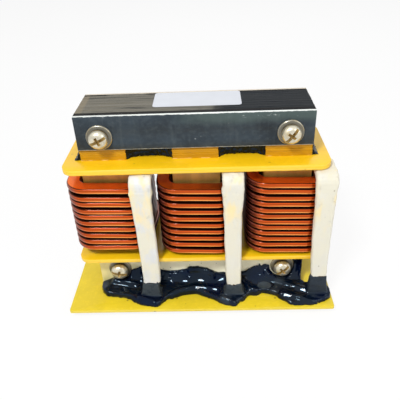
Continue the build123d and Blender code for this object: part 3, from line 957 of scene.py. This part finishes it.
class REACTOR_OT_wraps(bpy.types.Operator):
    """Wrap the limbs"""

    bl_idname = "reactor.wraps"
    bl_label = "Limb wraps"

    def execute(self, context):
        finish = wrap_finish("limb wrap", tuple(context.scene.reactor_colours.wrap))
        for side in SIDES:
            node = "wrap_" + side
            lo, hi = low(node), high(node)
            core_lo, core_hi = low("limb_" + side), high("limb_" + side)
            wrap = block(node + "_tape", lo, hi)
            round_corners(wrap, 0.45 * MM, 3)
            room = (core_lo.x, core_lo.y, lo.z - MM), (core_hi.x, core_hi.y, hi.z + MM)
            carve(wrap, block("hole", *room))
            hand_over(wrap, finish, node)
        return {"FINISHED"}


# Windings and sleeves. Their sizes are in millimetres, reckoned from the middle of the limb.

GAPS = {
    "left": (0.75, 0.85, 0.95, 0.65, 0.95, 0.4, 1.1, 0.2, 1.6),
    "middle": (1.25, 0.95, 1.0, 1.0, 1.0, 1.1, 0.95, 1.05, 1.0),
    "right": (0.9, 0.65, 0.55, 0.5, 0.5, 0.6, 0.45, 0.75, 0.45, 1.0, 0.45),
}
LIFTS = {"left": 5.1, "middle": 2.1, "right": 1.6}
HALF_X, HALF_Y = 17.25, 19.4
LEAD_X = 15.3
LEAD_START_Y = 8.9
LEAD_TIP = 3.5
LEAN = 0.1
SLEEVE_SEAT, SLEEVE_PLAY, SLEEVE_WALL = 0.15, 0.1, 0.45
SLEEVE_OUT = SLEEVE_SEAT + SLEEVE_PLAY + SLEEVE_WALL
START_DROP = 1.4
WAYS = ((-1, 0), (0, 1), (1, 0), (0, -1))
ARC_STEPS = 8


def turns_line(side, sizes, first, x_seed):
    """The middle of the wire along all turns, clockwise from above, from the front right corner on."""
    wide, thick = sizes.width / MM, sizes.thickness / MM
    bend = sizes.corner / MM - wide / 2
    half_x, half_y = HALF_X - wide / 2 - bend, HALF_Y - wide / 2 - bend
    turn = 4 * half_x + 4 * half_y + 2 * math.pi * bend
    quarter = math.pi / 2 * bend
    rises = [thick + gap for gap in GAPS[side]]

    def height(s, turn_number):
        k = max(0, min(math.floor(s / turn), len(rises)))
        level = first + sum(rises[:k]) + (s / turn - k) * rises[min(k, len(rises) - 1)]
        return level + sizes.wander / MM * noise.noise(Vector((s * 0.045, x_seed, 0.37 * turn_number)))

    points = []
    s = -half_x - quarter
    middles = ((half_x, -half_y), (-half_x, -half_y), (-half_x, half_y), (half_x, half_y))
    for k in range(len(rises) + 1):
        for corner, (cx, cy) in enumerate(middles):
            for step in range(ARC_STEPS + 1):
                angle = -math.pi / 2 * (corner + step / ARC_STEPS)
                z = height(s + quarter * step / ARC_STEPS, k)
                points.append((cx + bend * math.cos(angle), cy + bend * math.sin(angle), z))
            s += quarter
            if corner == 3 and k == len(rises):
                return points
            run = 2 * half_x if corner in (0, 2) else 2 * half_y
            way = WAYS[corner]
            x0, y0, _ = points[-1]
            for step in range(1, ARC_STEPS):
                far = run * step / ARC_STEPS
                points.append((x0 + way[0] * far, y0 + way[1] * far, height(s + far, k)))
            s += run


def ease(start, end, steps=10):
    """A smooth join between two points that leaves and arrives along -Y."""
    start, end = Vector(start), Vector(end)
    way = Vector((0, -1, 0))
    reach = (end - start).length
    line = []
    for i in range(1, steps):
        t = i / steps
        h = (2 * t**3 - 3 * t**2 + 1, t**3 - 2 * t**2 + t, -2 * t**3 + 3 * t**2, t**3 - t**2)
        line.append(h[0] * start + h[1] * reach * way + h[2] * end + h[3] * reach * way)
    return line


def lead(sign, z, radius, lead_y):
    """Knee, bend and drop of a lead, outwards. The drop leans a hair, to keep the wire from twisting."""
    knee = lead_y - radius
    line = [(LEAD_X, sign * LEAD_START_Y, z), (LEAD_X, sign * (LEAD_START_Y + knee) / 2, z)]
    for step in range(ARC_STEPS + 1):
        a = math.pi / 2 * step / ARC_STEPS
        y = knee + radius * math.sin(a) - LEAN * step / ARC_STEPS * 0.5
        line.append((LEAD_X, sign * y, z - radius + radius * math.cos(a)))
    drop = z - radius + LEAD_TIP
    for step in range(1, ARC_STEPS + 1):
        y = lead_y - LEAN * 0.5 + LEAN * 0.5 * step / ARC_STEPS
        line.append((LEAD_X, sign * y, z - radius - drop * step / ARC_STEPS))
    return line


def start_height(side, sizes):
    """Height of the starting lead: a little under the lowest turn, but clear of the board."""
    half_t = sizes.thickness / MM / 2
    return high("coil_board").z / MM + max(LIFTS[side] + half_t - START_DROP, SLEEVE_OUT + half_t)


def lead_place(sizes):
    """How far out along Y the leads drop."""
    return high("coil_left").y / MM - sizes.thickness / MM / 2


def winding_line(side, sizes):
    """The middle of the wire from the tip of the starting lead to the tip of the finished one, in metres."""
    half_t = sizes.thickness / MM / 2
    limb_x = LIMB_XS[SIDES.index(side)]
    lead_y = lead_place(sizes)
    finish_z = low("top_board").z / MM - (SLEEVE_OUT + half_t)
    first = high("coil_board").z / MM + LIFTS[side] + half_t
    turns = turns_line(side, sizes, first, limb_x * 50)
    rear = lead(1, start_height(side, sizes), sizes.start_bend / MM, lead_y)[::-1]
    front = lead(-1, finish_z, sizes.lead_bend / MM, lead_y)
    line = rear + ease(rear[-1], turns[0]) + turns + ease(turns[-1], front[0]) + front
    return [Vector((x + limb_x / MM, y, z)) * MM for x, y, z in line]


def add_curve(name, dimensions, points):
    """A curve of straight runs through points."""
    curve = bpy.data.curves.new(name, "CURVE")
    curve.dimensions = dimensions
    spline = curve.splines.new("POLY")
    spline.points.add(len(points) - 1)
    for point, place in zip(spline.points, points):
        point.co = (*place, 1)
    return curve, add_object(name, curve)


def wire_section(sizes):
    """The flat wire's section, as a closed flat curve: flat faces and crowned edges."""
    half_w, half_t, crown = sizes.width / 2, sizes.thickness / 2, sizes.rounding
    power = 0.72
    steps = 12
    points = []
    for way in (1, -1):
        for step in range(steps + 1):
            a = way * math.pi * (step / steps - 0.5)
            across = abs(math.cos(a)) ** power * crown
            up = math.copysign(abs(math.sin(a)) ** power, math.sin(a)) * half_t
            points.append((way * (half_w - crown + across), up, 0))
    curve, section = add_curve("wire section", "2D", points)
    curve.splines[0].use_cyclic_u = True
    return section


class REACTOR_OT_coils(bpy.types.Operator):
    """Wind the three coils on edge from flat copper, each with its two leads"""

    bl_idname = "reactor.coils"
    bl_label = "Edge-wound coils"

    def execute(self, context):
        sizes = context.scene.reactor_winding
        finish = copper_finish("enamelled copper", tuple(context.scene.reactor_colours.copper))
        section = wire_section(sizes)
        for side in SIDES:
            name = "coil_" + side + "_wire"
            curve, coil = add_curve(name, "3D", winding_line(side, sizes))
            curve.twist_mode = "Z_UP"
            curve.bevel_mode = "OBJECT"
            curve.bevel_object = section
            curve.use_fill_caps = True
            lone(coil)
            bpy.ops.object.convert(target="MESH")
            hand_over(weld(named(name)), finish, "coil_" + side, 50)
        bpy.data.objects.remove(section)
        return {"FINISHED"}


# From a sleeve's open end up, as (height, width, shift along X, thickness if not the usual one).
SLEEVE_THICK = 3.5
SLEEVE_END_Y = 9.4
SLEEVES = {
    "left": (
        (11.1, 7.9, 0.7), (12.6, 8.1, 0.7), (16.7, 8.4, 0.7), (27, 8.55, 0.65), (37, 8.55, 0.45),
        (46.5, 8.55, 0.1), (51, 8.8, 0.05), (54.6, 9.0, -0.15), (56.6, 9.6, -0.05), (58.4, 10.4, -0.1, 3.6),
        (59.6, 9.7, 0.1), (60.5, 9.6, 0.15),
    ),
    "middle": (
        (9.3, 6.9, -0.2), (11, 7.05, -0.25), (15.8, 7.4, -0.3), (26, 7.7, -0.35), (36, 7.75, -0.4),
        (45.5, 7.9, -0.5), (50, 8.25, -0.45), (54.4, 8.75, -0.3), (57, 9.3, -0.4), (59, 9.9, -0.5, 3.6),
        (60, 9.5, -0.35), (60.5, 9.2, -0.3),
    ),
    "right": (
        (13.1, 7.3, 0.0), (14.8, 7.4, -0.1), (20, 7.7, -0.35), (30, 8.2, -0.65), (40, 8.45, -0.7),
        (49, 8.55, -0.7), (53.3, 8.8, -0.75), (57.7, 9.1, -0.85), (60.5, 9.5, -0.9),
    ),
}


def sleeve(name, x, y, radius, stations, inner):
    """A flat tube pulled up from its open end, bent over at the top and pulled in along Y to inner."""
    stations = [station if len(station) == 4 else (*station, SLEEVE_THICK) for station in stations]
    here = stations[0]
    height, wide, shift, thick = here
    knee = y - math.copysign(radius, y)
    lowest = ((x + shift - wide / 2) * MM, (y - thick / 2) * MM, (height - 1) * MM)
    tube = block(name, lowest, ((x + shift + wide / 2) * MM, (y + thick / 2) * MM, height * MM))
    round_corners(tube, 1.25 * MM, 4)
    with editing(tube, "FACE"):
        for unwanted in (lambda f: f.normal.z < -0.9, lambda f: abs(f.normal.z) < 0.5):
            pick(tube, "faces", unwanted)
            bpy.ops.mesh.delete(type="FACE")
    with editing(tube, "EDGE", whole=True):
        bpy.ops.mesh.delete(type="ONLY_FACE")
    with editing(tube, "VERT", whole=True):
        for station in stations[1:]:
            pull((station[2] - here[2], 0, station[0] - here[0]))
            centre = ((x + station[2]) * MM, y * MM, station[0] * MM)
            growth = (station[1] / here[1], station[3] / here[3], 1)
            bpy.ops.transform.resize(value=growth, center_override=centre)
            here = station
        bend = (x * MM, knee * MM, here[0] * MM)
        angle = math.copysign(math.pi / 2, -y)
        bpy.ops.mesh.spin(steps=8, angle=angle, center=bend, axis=(1, 0, 0))
        if inner is not None:
            for _ in range(4):
                pull((0, (inner - knee) / 4, 0))
    return tube


def pull(way):
    """Extrudes the selected edges by a way in millimetres."""
    bpy.ops.mesh.extrude_region_move(TRANSFORM_OT_translate={"value": tuple(c * MM for c in way)})


class REACTOR_OT_sleeves(bpy.types.Operator):
    """Slide the woven sleeves over the six leads"""

    bl_idname = "reactor.sleeves"
    bl_label = "Lead sleeves"

    def execute(self, context):
        finish = sleeve_finish("cream sleeving", tuple(context.scene.reactor_colours.sleeve))
        winding = context.scene.reactor_winding
        y = lead_place(winding)
        lead_bend, start_bend = winding.lead_bend / MM, winding.start_bend / MM
        for seed, side in enumerate(SIDES):
            x = LIMB_XS[seed] / MM + LEAD_X
            rear = ((10.0, 7.1, 0), (16, 7.2, 0), (start_height(side, winding) - start_bend, 7.4, 0))
            plans = (
                ("sleeve_front_" + side, -y, lead_bend, SLEEVES[side], -SLEEVE_END_Y, seed),
                ("sleeve_rear_" + side, y, start_bend, rear, None, seed + 3),
            )
            for node, place, radius, stations, inner, crumple in plans:
                piece = sleeve(node + "_braid", x, place, radius, stations, inner)
                rumple(piece, crumple)
                hand_over(piece, finish, node, 60)
        return {"FINISHED"}


def rumple(piece, seed):
    """Gives a bare tube its wall, wrinkles and an uneven open end."""
    outward(piece)
    modify(piece, "SUBSURF", levels=2, render_levels=2)
    chance = Vector((seed * 13.7, seed * 5.1, 2.2))
    foot = min(v.co.z for v in piece.data.vertices) / MM

    def crumpled(at, normal):
        def wave(*often):
            return noise.noise(Vector(c * share for c, share in zip(at, often)) + chance)

        crease = 1 - 4 * abs(wave(0.28, 0.28, 0.05))
        fray = max(0.0, 1 - (at.z - foot) / 1.5) * 0.9 * wave(1.7, 1.7, 0)
        press = 0.2 * (wave(0.5, 0.5, 0.22) - 0.5) + 0.1 * (wave(0.15, 0.6, 0.9) - 0.6)
        return at + normal * (press + 0.08 * (max(crease, 0) - 1)) + Vector((0, 0, fray))

    reshape(piece, crumpled)
    modify(piece, "SOLIDIFY", thickness=0.4 * MM, offset=-1)


# Fasteners. Profiles are (radius, height) in millimetres.

WASHER = 0.8
SPRING_WASHER = 1.0
NUT = 3.2
SCREW_OUT = 1.3
HOLE_PLAY = 0.2


def along_y(degrees):
    """Turns a fastener made along Z to look out along the front (90) or the rear (-90)."""
    return Matrix.Rotation(math.radians(degrees), 4, "X")


class REACTOR_OT_fasteners(bpy.types.Operator):
    """Turn the screws, washers and nuts, and set one of each at every hole"""

    bl_idname = "reactor.fasteners"
    bl_label = "Screws, washers and nuts"

    def execute(self, context):
        sizes = context.scene.reactor_fasteners
        plating = tuple(context.scene.reactor_colours.plating)
        bright = plating_finish("nickel plating", plating)
        # Painted shade: the spring washers get a dark tone standing in for the shadow under the screw heads.
        dark = plating_finish("spring washer plating", shade(plating, 0.3))
        # Flat washers: their flat faces get painted shade.
        shaded_face = plating_finish("washer plating", shade(plating, 0.62), shaded_face=True)
        model = {
            "screws": (screw(sizes), bright),
            "spring_washers": (spring_washer(sizes), dark),
            "flat_washers": (flat_washer(sizes), shaded_face),
            "nuts": (nut(sizes), bright),
        }
        for piece, finish in model.values():
            finish.wear(piece)
        head = model["screws"][0]
        head.data.materials.append(plating_finish("worn recess", plating, 0.9).material)
        mark_recess(head, sizes)
        seat, face, rear = (-FACE_Y - (WASHER + SPRING_WASHER) * MM, FACE_Y, FACE_Y + WASHER * MM)
        turns = {(False, False): -12, (False, True): 25, (True, False): 40, (True, True): 52}
        copies = {name: [] for name in model}
        for x, z in bore_places():
            turn = Matrix.Rotation(math.radians(turns[x > 0, z > 0.05]), 4, "Z")
            for name, y, way in (
                ("screws", seat, along_y(90) @ turn),
                ("spring_washers", seat, along_y(90)),
                ("flat_washers", -face, along_y(90) @ turn),
                ("flat_washers", face, along_y(-90)),
                ("nuts", rear, along_y(-90)),
            ):
                copies[name].append(twin(model[name][0], name + "_set", Matrix.Translation((x, y, z)) @ way))
        for name, pieces in copies.items():
            bpy.data.objects.remove(model[name][0])
            hand_over(joined(pieces, name + "_set"), None, name, 35)
        return {"FINISHED"}


def turned(name, profile, steps):
    """A piece turned about Z from a profile."""
    bpy.ops.object.select_all(action="DESELECT")
    bpy.ops.mesh.primitive_plane_add(size=MM)
    piece = named(name)
    with editing(piece, "VERT", whole=True):
        bpy.ops.mesh.merge(type="CENTER")
        radius, height = profile[0]
        bpy.ops.transform.translate(value=(radius * MM, 0, height * MM))
        for next_radius, next_height in profile[1:]:
            way = ((next_radius - radius) * MM, 0, (next_height - height) * MM)
            bpy.ops.mesh.extrude_vertices_move(TRANSFORM_OT_translate={"value": way})
            radius, height = next_radius, next_height
        bpy.ops.mesh.select_all(action="SELECT")
        bpy.ops.mesh.spin(steps=steps, angle=math.tau, center=(0, 0, 0), axis=(0, 0, 1))
    return weld(piece)


def head_profile(sizes):
    """The pan head from the middle of its top to its rim."""
    r, h = sizes.head / 2 / MM, sizes.head_height / MM
    dome = ((0.30, 0.01), (0.55, 0.12), (0.74, 0.42), (0.88, 0.95), (0.97, 1.7), (1, 2.2))
    return [(0, h)] + [(share * r, h - fall) for share, fall in dome]


def screw(sizes):
    """A pan head with a cross and a slot; its shank runs down -Z and ends in a short length of thread."""
    r, h = sizes.head / 2 / MM, sizes.head_height / MM
    shank, pitch = sizes.shank / 2 / MM, sizes.pitch / MM
    tip = -(2 * FACE_Y / MM + 2 * WASHER + SPRING_WASHER + NUT + SCREW_OUT)
    root, thread, chamfer = shank - 0.42, 8, 0.6
    z = tip + thread
    profile = head_profile(sizes) + [(r, 0.25), (r - 0.2, 0), (shank, 0), (shank, z)]
    while z > tip + 0.9:
        for radius, share in ((shank, 0.08), (root, 0.5), (root, 0.56), (shank, 0.94)):
            profile.append((radius, z - share * pitch))
        z -= pitch
    profile += [(shank - 0.1, z - 0.1), (shank - chamfer, tip), (0, tip)]
    piece = turned("screw", profile, sizes.steps)
    for turn in (0, 90):
        bar = head_cut("recess", 2.3, 0.62, 1.7, h)
        with editing(bar, "VERT"):
            pick(bar, "verts", lambda v: v.co.z < (h - 1) * MM)
            bpy.ops.transform.resize(value=(0.45, 0.7, 1), center_override=(0, 0, h * MM))
        bar.data.transform(Matrix.Rotation(math.radians(turn), 4, "Z"))
        carve(piece, bar)
    carve(piece, head_cut("slot", 5, 0.6, 0.95, h))
    return soften(piece, 0.07 * MM, 2, 50)


def head_cut(name, half_x, half_y, depth, top):
    """A block that cuts down into a screw's head."""
    corner = Vector((half_x, half_y, top + 1)) * MM
    return block(name, (-corner.x, -corner.y, (top - depth) * MM), corner)


def mark_recess(piece, sizes):
    """Gives the faces down in the recess the piece's second finish."""
    dome = head_profile(sizes)
    for face in piece.data.polygons:
        radius, height = Vector(face.center[:2]).length / MM, face.center.z / MM
        for (r0, h0), (r1, h1) in zip(dome, dome[1:]):
            if r0 <= radius <= r1 and 0.4 < height < h0 + (h1 - h0) * (radius - r0) / (r1 - r0) - 0.1:
                face.material_index = 1


def spring_washer(sizes):
    """A split ring, cut through on a slant."""
    inner = sizes.shank / 2 / MM + HOLE_PLAY
    outer = sizes.shank / 2 / MM + 1.6
    profile = [
        (inner, 0.06), (outer - 0.05, 0.06), (outer, 0.12), (outer, 0.88), (outer - 0.05, 0.94), (inner, 0.94)
    ]
    piece = turned("spring washer", profile + profile[:1], sizes.steps)
    cutter = block("split", (-0.35 * MM, 1 * MM, -2 * MM), (0.35 * MM, 8 * MM, 3 * MM))
    cutter.data.transform(Matrix.Rotation(math.radians(25), 4, "Y"))
    carve(piece, cutter)
    piece.data.transform(Matrix.Translation((0, 0, -SPRING_WASHER * MM)))
    return piece


def flat_washer(sizes):
    """A stamped washer with one rounded edge; it stands on Z = 0."""
    inner = sizes.shank / 2 / MM + HOLE_PLAY
    rim = [(5.3, 0), (5.3, 0.4), (5.16, 0.62), (4.85, WASHER)]
    profile = [(inner, 0)] + rim + [(inner + 0.15, WASHER), (inner, WASHER - 0.15), (inner, 0)]
    return turned("washer", profile, sizes.steps)


def nut(sizes):
    """A hexagon nut with both faces chamfered; it stands on Z = 0."""
    bore = sizes.shank / 2 / MM + 0.05
    radius, depth = 3.5 / math.cos(math.pi / 6) * MM, NUT * MM
    bpy.ops.object.select_all(action="DESELECT")
    bpy.ops.mesh.primitive_cylinder_add(vertices=6, radius=radius, depth=depth, location=(0, 0, depth / 2))
    piece = settle(named("nut"))
    blank = [(0, 0), (3.45, 0), (4.1, 0.38), (4.1, NUT - 0.38), (3.45, NUT), (0, NUT)]
    hole = [(0, -1), (bore + 0.5, -1), (bore + 0.5, 0), (bore, 0.5)]
    hole += [(bore, NUT - 0.5), (bore + 0.5, NUT), (bore + 0.5, 4), (0, 4)]
    carve(piece, turned("blank", blank, sizes.steps), "INTERSECT")
    carve(piece, turned("bore", hole, sizes.steps))
    return soften(piece, 0.06 * MM, 1, 40)


# Resin, adhesive and label. The lines are read off the photo, in millimetres.

FOLDS = (
    ((19.8, 16.7), (22.5, 20.4), (27.1, 22.3)),
    ((30.7, 14.7), (35.8, 16.6), (43.2, 19.7), (48.8, 21.9)),
    ((36.9, 23.6), (47.9, 27.4), (55.1, 28.9)),
    ((-5.1, 12.9), (2.0, 12.8), (5.7, 14.9)),
    ((-13.5, 22.9), (-10.2, 20.9), (-2.5, 19.0), (7.7, 20.6)),
    ((-40.8, 15.3), (-30.7, 17.1)),
    ((-27.8, 24.6), (-20.4, 27.6), (-15.8, 26.4)),
    ((9.7, 25.7), (16.2, 28.4), (20.7, 24.6)),
)
CREST = (
    (-40.0, 30.0), (-22.0, 12.5), (-18.6, 9.8), (-14.6, 8.9), (-9.4, 9.5),
    (-5.0, 10.7), (-1.0, 10.8), (11.0, 9.5), (16.0, 12.0), (24.0, 30.0),
)
FOLD_WIDTH = 1.15
FOLD_HEIGHT = 1.1
ANY_HEIGHT = 99.0


def crest(x):
    """How high the resin reaches up the lower facing."""
    for (x0, z0), (x1, z1) in zip(CREST, CREST[1:]):
        if x0 <= x <= x1:
            return z0 + (z1 - z0) * (x - x0) / (x1 - x0)
    return ANY_HEIGHT


def ridge(at):
    """How near a point lies, in plan, to one of the resin's folds: 1 on its crest, 0 away from it."""
    here = Vector((at.x, abs(at.y)))
    nearest = 9.0
    for fold in FOLDS:
        for first, last in zip(fold, fold[1:]):
            first, run = Vector(first), Vector(last) - Vector(first)
            share = min(max((here - first).dot(run) / run.length_squared, 0.0), 1.0)
            nearest = min(nearest, (here - first - run * share).length)
    return math.exp(-((nearest / FOLD_WIDTH) ** 2))


def lumpy(at, normal, foot):
    """Swells and folds like thick syrup and thins out to a ragged shore on the base board."""

    def wave(across, along, up, shift=0.0):
        return noise.noise(Vector((at.x * across, at.y * along, at.z * up + shift)))

    height = at.z - foot
    sleeve_half, sleeve_front = 5.5, 24.3
    clear = min(abs(at.x - lead / MM) for lead in LEAD_XS) > sleeve_half or abs(at.y) > sleeve_front
    wall = max(0.0, 1 - 1.5 * abs(normal.z)) if clear and 0.3 < height < 3.4 else 0.0
    rough = wave(0.42, 0.42, 0, 7) + 0.4 * wave(1.3, 1.3, 0, 3)
    flat = Vector((normal.x, normal.y, 0)) * max(0.0, 1 - height / 2.5) * 0.8 * rough
    lift = -0.6 * wall * height
    if height > 6:
        lift += 0.8 * rough
    if height > 10:
        lift += 2.2 * max(0.0, wave(1.1, 1.1, 0, 9))
    if height > 0.3:
        across = Vector((at.x * 0.09 + at.y * 0.07, at.y * 0.2, at.z * 0.12 + 4))
        fold = max(1 - 3 * abs(noise.noise(across)), 0) - 0.4
        at = at + normal * (0.4 * wave(0.16, 0.2, 0.1) + 0.3 * fold)
    at = at + flat + Vector((0, 0, lift))
    over = at.z - crest(at.x) + 0.35 * rough
    if over > 0:
        at.z -= over * 0.9
    return at


def poured(node, name, voxel, rounds):
    """A CAD node's mesh made even and soft, ready to be reshaped."""
    pour = copy_of(node, name)
    modify(pour, "REMESH", mode="VOXEL", voxel_size=voxel)
    return modify(pour, "SMOOTH", factor=0.5, iterations=rounds)


class REACTOR_OT_resin(bpy.types.Operator):
    """Pour the potting round the lead feet and draw the adhesive up beside the gap sheets"""

    bl_idname = "reactor.resin"
    bl_label = "Potting and adhesive"

    def execute(self, context):
        tint = tuple(context.scene.reactor_colours.resin)
        finish = resin_finish("dark potting resin", tint, LEAD_XS)
        for node in ("potting_front", "potting_rear"):
            lo, hi = low(node) / MM, high(node) / MM
            pour = outward(poured(node, node + "_pour", 0.4 * MM, 4))
            reshape(pour, lambda at, normal: kept_in(lumpy(at, normal, lo.z), lo, hi))
            modify(pour, "SMOOTH", factor=0.5, iterations=3)
            reshape(pour, lambda at, normal: kept_in(at + normal * FOLD_HEIGHT * ridge(at), lo, hi))
            hand_over(pour, finish, node, 80)
        glue = resin_finish("dark adhesive", shade(tint, 0.8))
        lo, hi = low("gap_fillets") / MM, high("gap_fillets") / MM
        fillet = poured("gap_fillets", "gap_fillets_glue", 0.25 * MM, 3)
        reshape(fillet, lambda at, normal: kept_in(at + normal * noise.noise(at * 0.7) * 0.5, lo, hi))
        hand_over(fillet, glue, "gap_fillets", 80)
        return {"FINISHED"}


class REACTOR_OT_label(bpy.types.Operator):
    """Lay the blank label on the top yoke"""

    bl_idname = "reactor.label"
    bl_label = "Blank label"

    def execute(self, context):
        paper = block("label_paper", low("label"), high("label"))
        round_corners(paper, 1.5 * MM, 8)
        soften(paper, 0.03 * MM, 1)
        finish = label_finish("blank label stock", tuple(context.scene.reactor_colours.label))
        hand_over(paper, finish, "label")
        return {"FINISHED"}


# Stage


class REACTOR_OT_stage(bpy.types.Operator):
    """Set the floor, the lights and the camera"""

    bl_idname = "reactor.stage"
    bl_label = "Stage"

    def execute(self, context):
        bpy.ops.object.select_all(action="DESELECT")
        bpy.ops.mesh.primitive_plane_add(size=6, location=(0, 0, -LEAD_TIP * MM))
        floor = settle(named("floor"))
        white = Finish("white floor", Base_Color=(0.9, 0.9, 0.9), Roughness=0.9, Specular_IOR_Level=0.1)
        nodes, links = white.tree.nodes, white.tree.links
        glow = nodes.new("ShaderNodeEmission")
        mix = nodes.new("ShaderNodeMixShader")
        seen = Value(white, seen_directly(nodes, links)) * GLOW_SHARE
        for socket, source in zip(mix.inputs, (seen.socket, white.shader.outputs[0], glow.outputs[0])):
            links.new(source, socket)
        links.new(mix.outputs[0], nodes["Material Output"].inputs["Surface"])
        white.wear(floor)
        context.scene.world = white_room()
        softbox("key", (-0.18, -0.38, 0.55), (0, 0, 0.04), 0.11, 3.3)
        softbox("fill", (0.5, -0.3, 0.35), (0, 0, 0.04), 0.4, 1.2)
        softbox("back", (0.05, 0.5, 0.5), (0, 0, 0.05), 0.4, 1.0)
        camera()
        return {"FINISHED"}


GLOW_SHARE = 0.88
WORLD_LIGHT = 0.42


def white_room():
    """A world that looks white and lights less strongly than it looks."""
    world = bpy.data.worlds.new("studio")
    world.use_nodes = True
    nodes, links = world.node_tree.nodes, world.node_tree.links
    background = nodes["Background"]
    background.inputs["Color"].default_value = (1, 1, 1, 1)
    strength = nodes.new("ShaderNodeMix")
    strength.data_type = "FLOAT"
    strength.inputs[2].default_value = WORLD_LIGHT
    strength.inputs[3].default_value = 1.0
    links.new(seen_directly(nodes, links), strength.inputs[0])
    links.new(strength.outputs[0], background.inputs["Strength"])
    return world


def seen_directly(nodes, links):
    """1 for rays from the camera, mirror-like reflections and clear materials, which see a white room."""
    rays = nodes.new("ShaderNodeLightPath")
    total = rays.outputs["Is Camera Ray"]
    for name in ("Is Glossy Ray", "Is Transmission Ray"):
        most = nodes.new("ShaderNodeMath")
        most.operation = "MAXIMUM"
        links.new(total, most.inputs[0])
        links.new(rays.outputs[name], most.inputs[1])
        total = most.outputs[0]
    return total


def softbox(name, place, target, size, power):
    light = bpy.data.lights.new(name, "AREA")
    light.shape = "SQUARE"
    light.size = size
    light.energy = power
    lamp = add_object(name, light)
    lamp.location = place
    lamp.rotation_euler = (Vector(target) - Vector(place)).to_track_quat("-Z", "Y").to_euler()


def camera():
    """Looks down on the front from a little to the right, turned as the photograph was taken."""
    down, roll, yaw = 0.56759, -0.044097, -0.037484
    place = Vector((7.638, -186.864, 159.939)) * MM
    ahead = Vector((math.sin(yaw) * math.cos(down), math.cos(yaw) * math.cos(down), -math.sin(down)))
    right = Vector((math.cos(yaw), -math.sin(yaw), 0))
    up = right.cross(ahead)
    level = right * math.cos(roll) + up * math.sin(roll)
    upright = up * math.cos(roll) - right * math.sin(roll)
    data = bpy.data.cameras.new("camera")
    data.sensor_width = 36
    data.lens = 43.2815
    data.clip_start = 0.01
    eye = add_object("camera", data)
    turn = Matrix((level, upright, -ahead)).transposed().to_4x4()
    eye.matrix_world = Matrix.Translation(place) @ turn
    bpy.context.scene.camera = eye


class REACTOR_PT_panel(bpy.types.Panel):
    """Lists the reactor's pieces"""

    bl_idname = "REACTOR_PT_panel"
    bl_label = "Line reactor"
    bl_space_type = "VIEW_3D"
    bl_region_type = "UI"
    bl_category = "Reactor"

    def draw(self, context):
        for operator in OPERATORS:
            self.layout.operator(operator.bl_idname)
        for group in ("reactor_core", "reactor_winding", "reactor_fasteners", "reactor_colours"):
            box = self.layout.box()
            for key in getattr(context.scene, group).__annotations__:
                box.prop(getattr(context.scene, group), key)


GROUPS = {
    "reactor_core": CoreSizes,
    "reactor_winding": WindingSizes,
    "reactor_fasteners": FastenerSizes,
    "reactor_colours": ReactorColours,
}
OPERATORS = (
    REACTOR_OT_boards,
    REACTOR_OT_core,
    REACTOR_OT_facings,
    REACTOR_OT_gap_sheets,
    REACTOR_OT_wraps,
    REACTOR_OT_coils,
    REACTOR_OT_sleeves,
    REACTOR_OT_fasteners,
    REACTOR_OT_resin,
    REACTOR_OT_label,
    REACTOR_OT_stage,
)


def register():
    for group in GROUPS.values():
        bpy.utils.register_class(group)
    for operator in OPERATORS:
        bpy.utils.register_class(operator)
    bpy.utils.register_class(REACTOR_PT_panel)
    for name, group in GROUPS.items():
        setattr(bpy.types.Scene, name, PointerProperty(type=group))


def unregister():
    for name in GROUPS:
        delattr(bpy.types.Scene, name)
    bpy.utils.unregister_class(REACTOR_PT_panel)
    for operator in reversed(OPERATORS):
        bpy.utils.unregister_class(operator)
    for group in GROUPS.values():
        bpy.utils.unregister_class(group)


def main():
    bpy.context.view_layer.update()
    register()
    bpy.context.scene.view_settings.view_transform = "Standard"
    for operator in OPERATORS:
        group, name = operator.bl_idname.split(".")
        getattr(getattr(bpy.ops, group), name)()


if __name__ == "__main__":
    main()
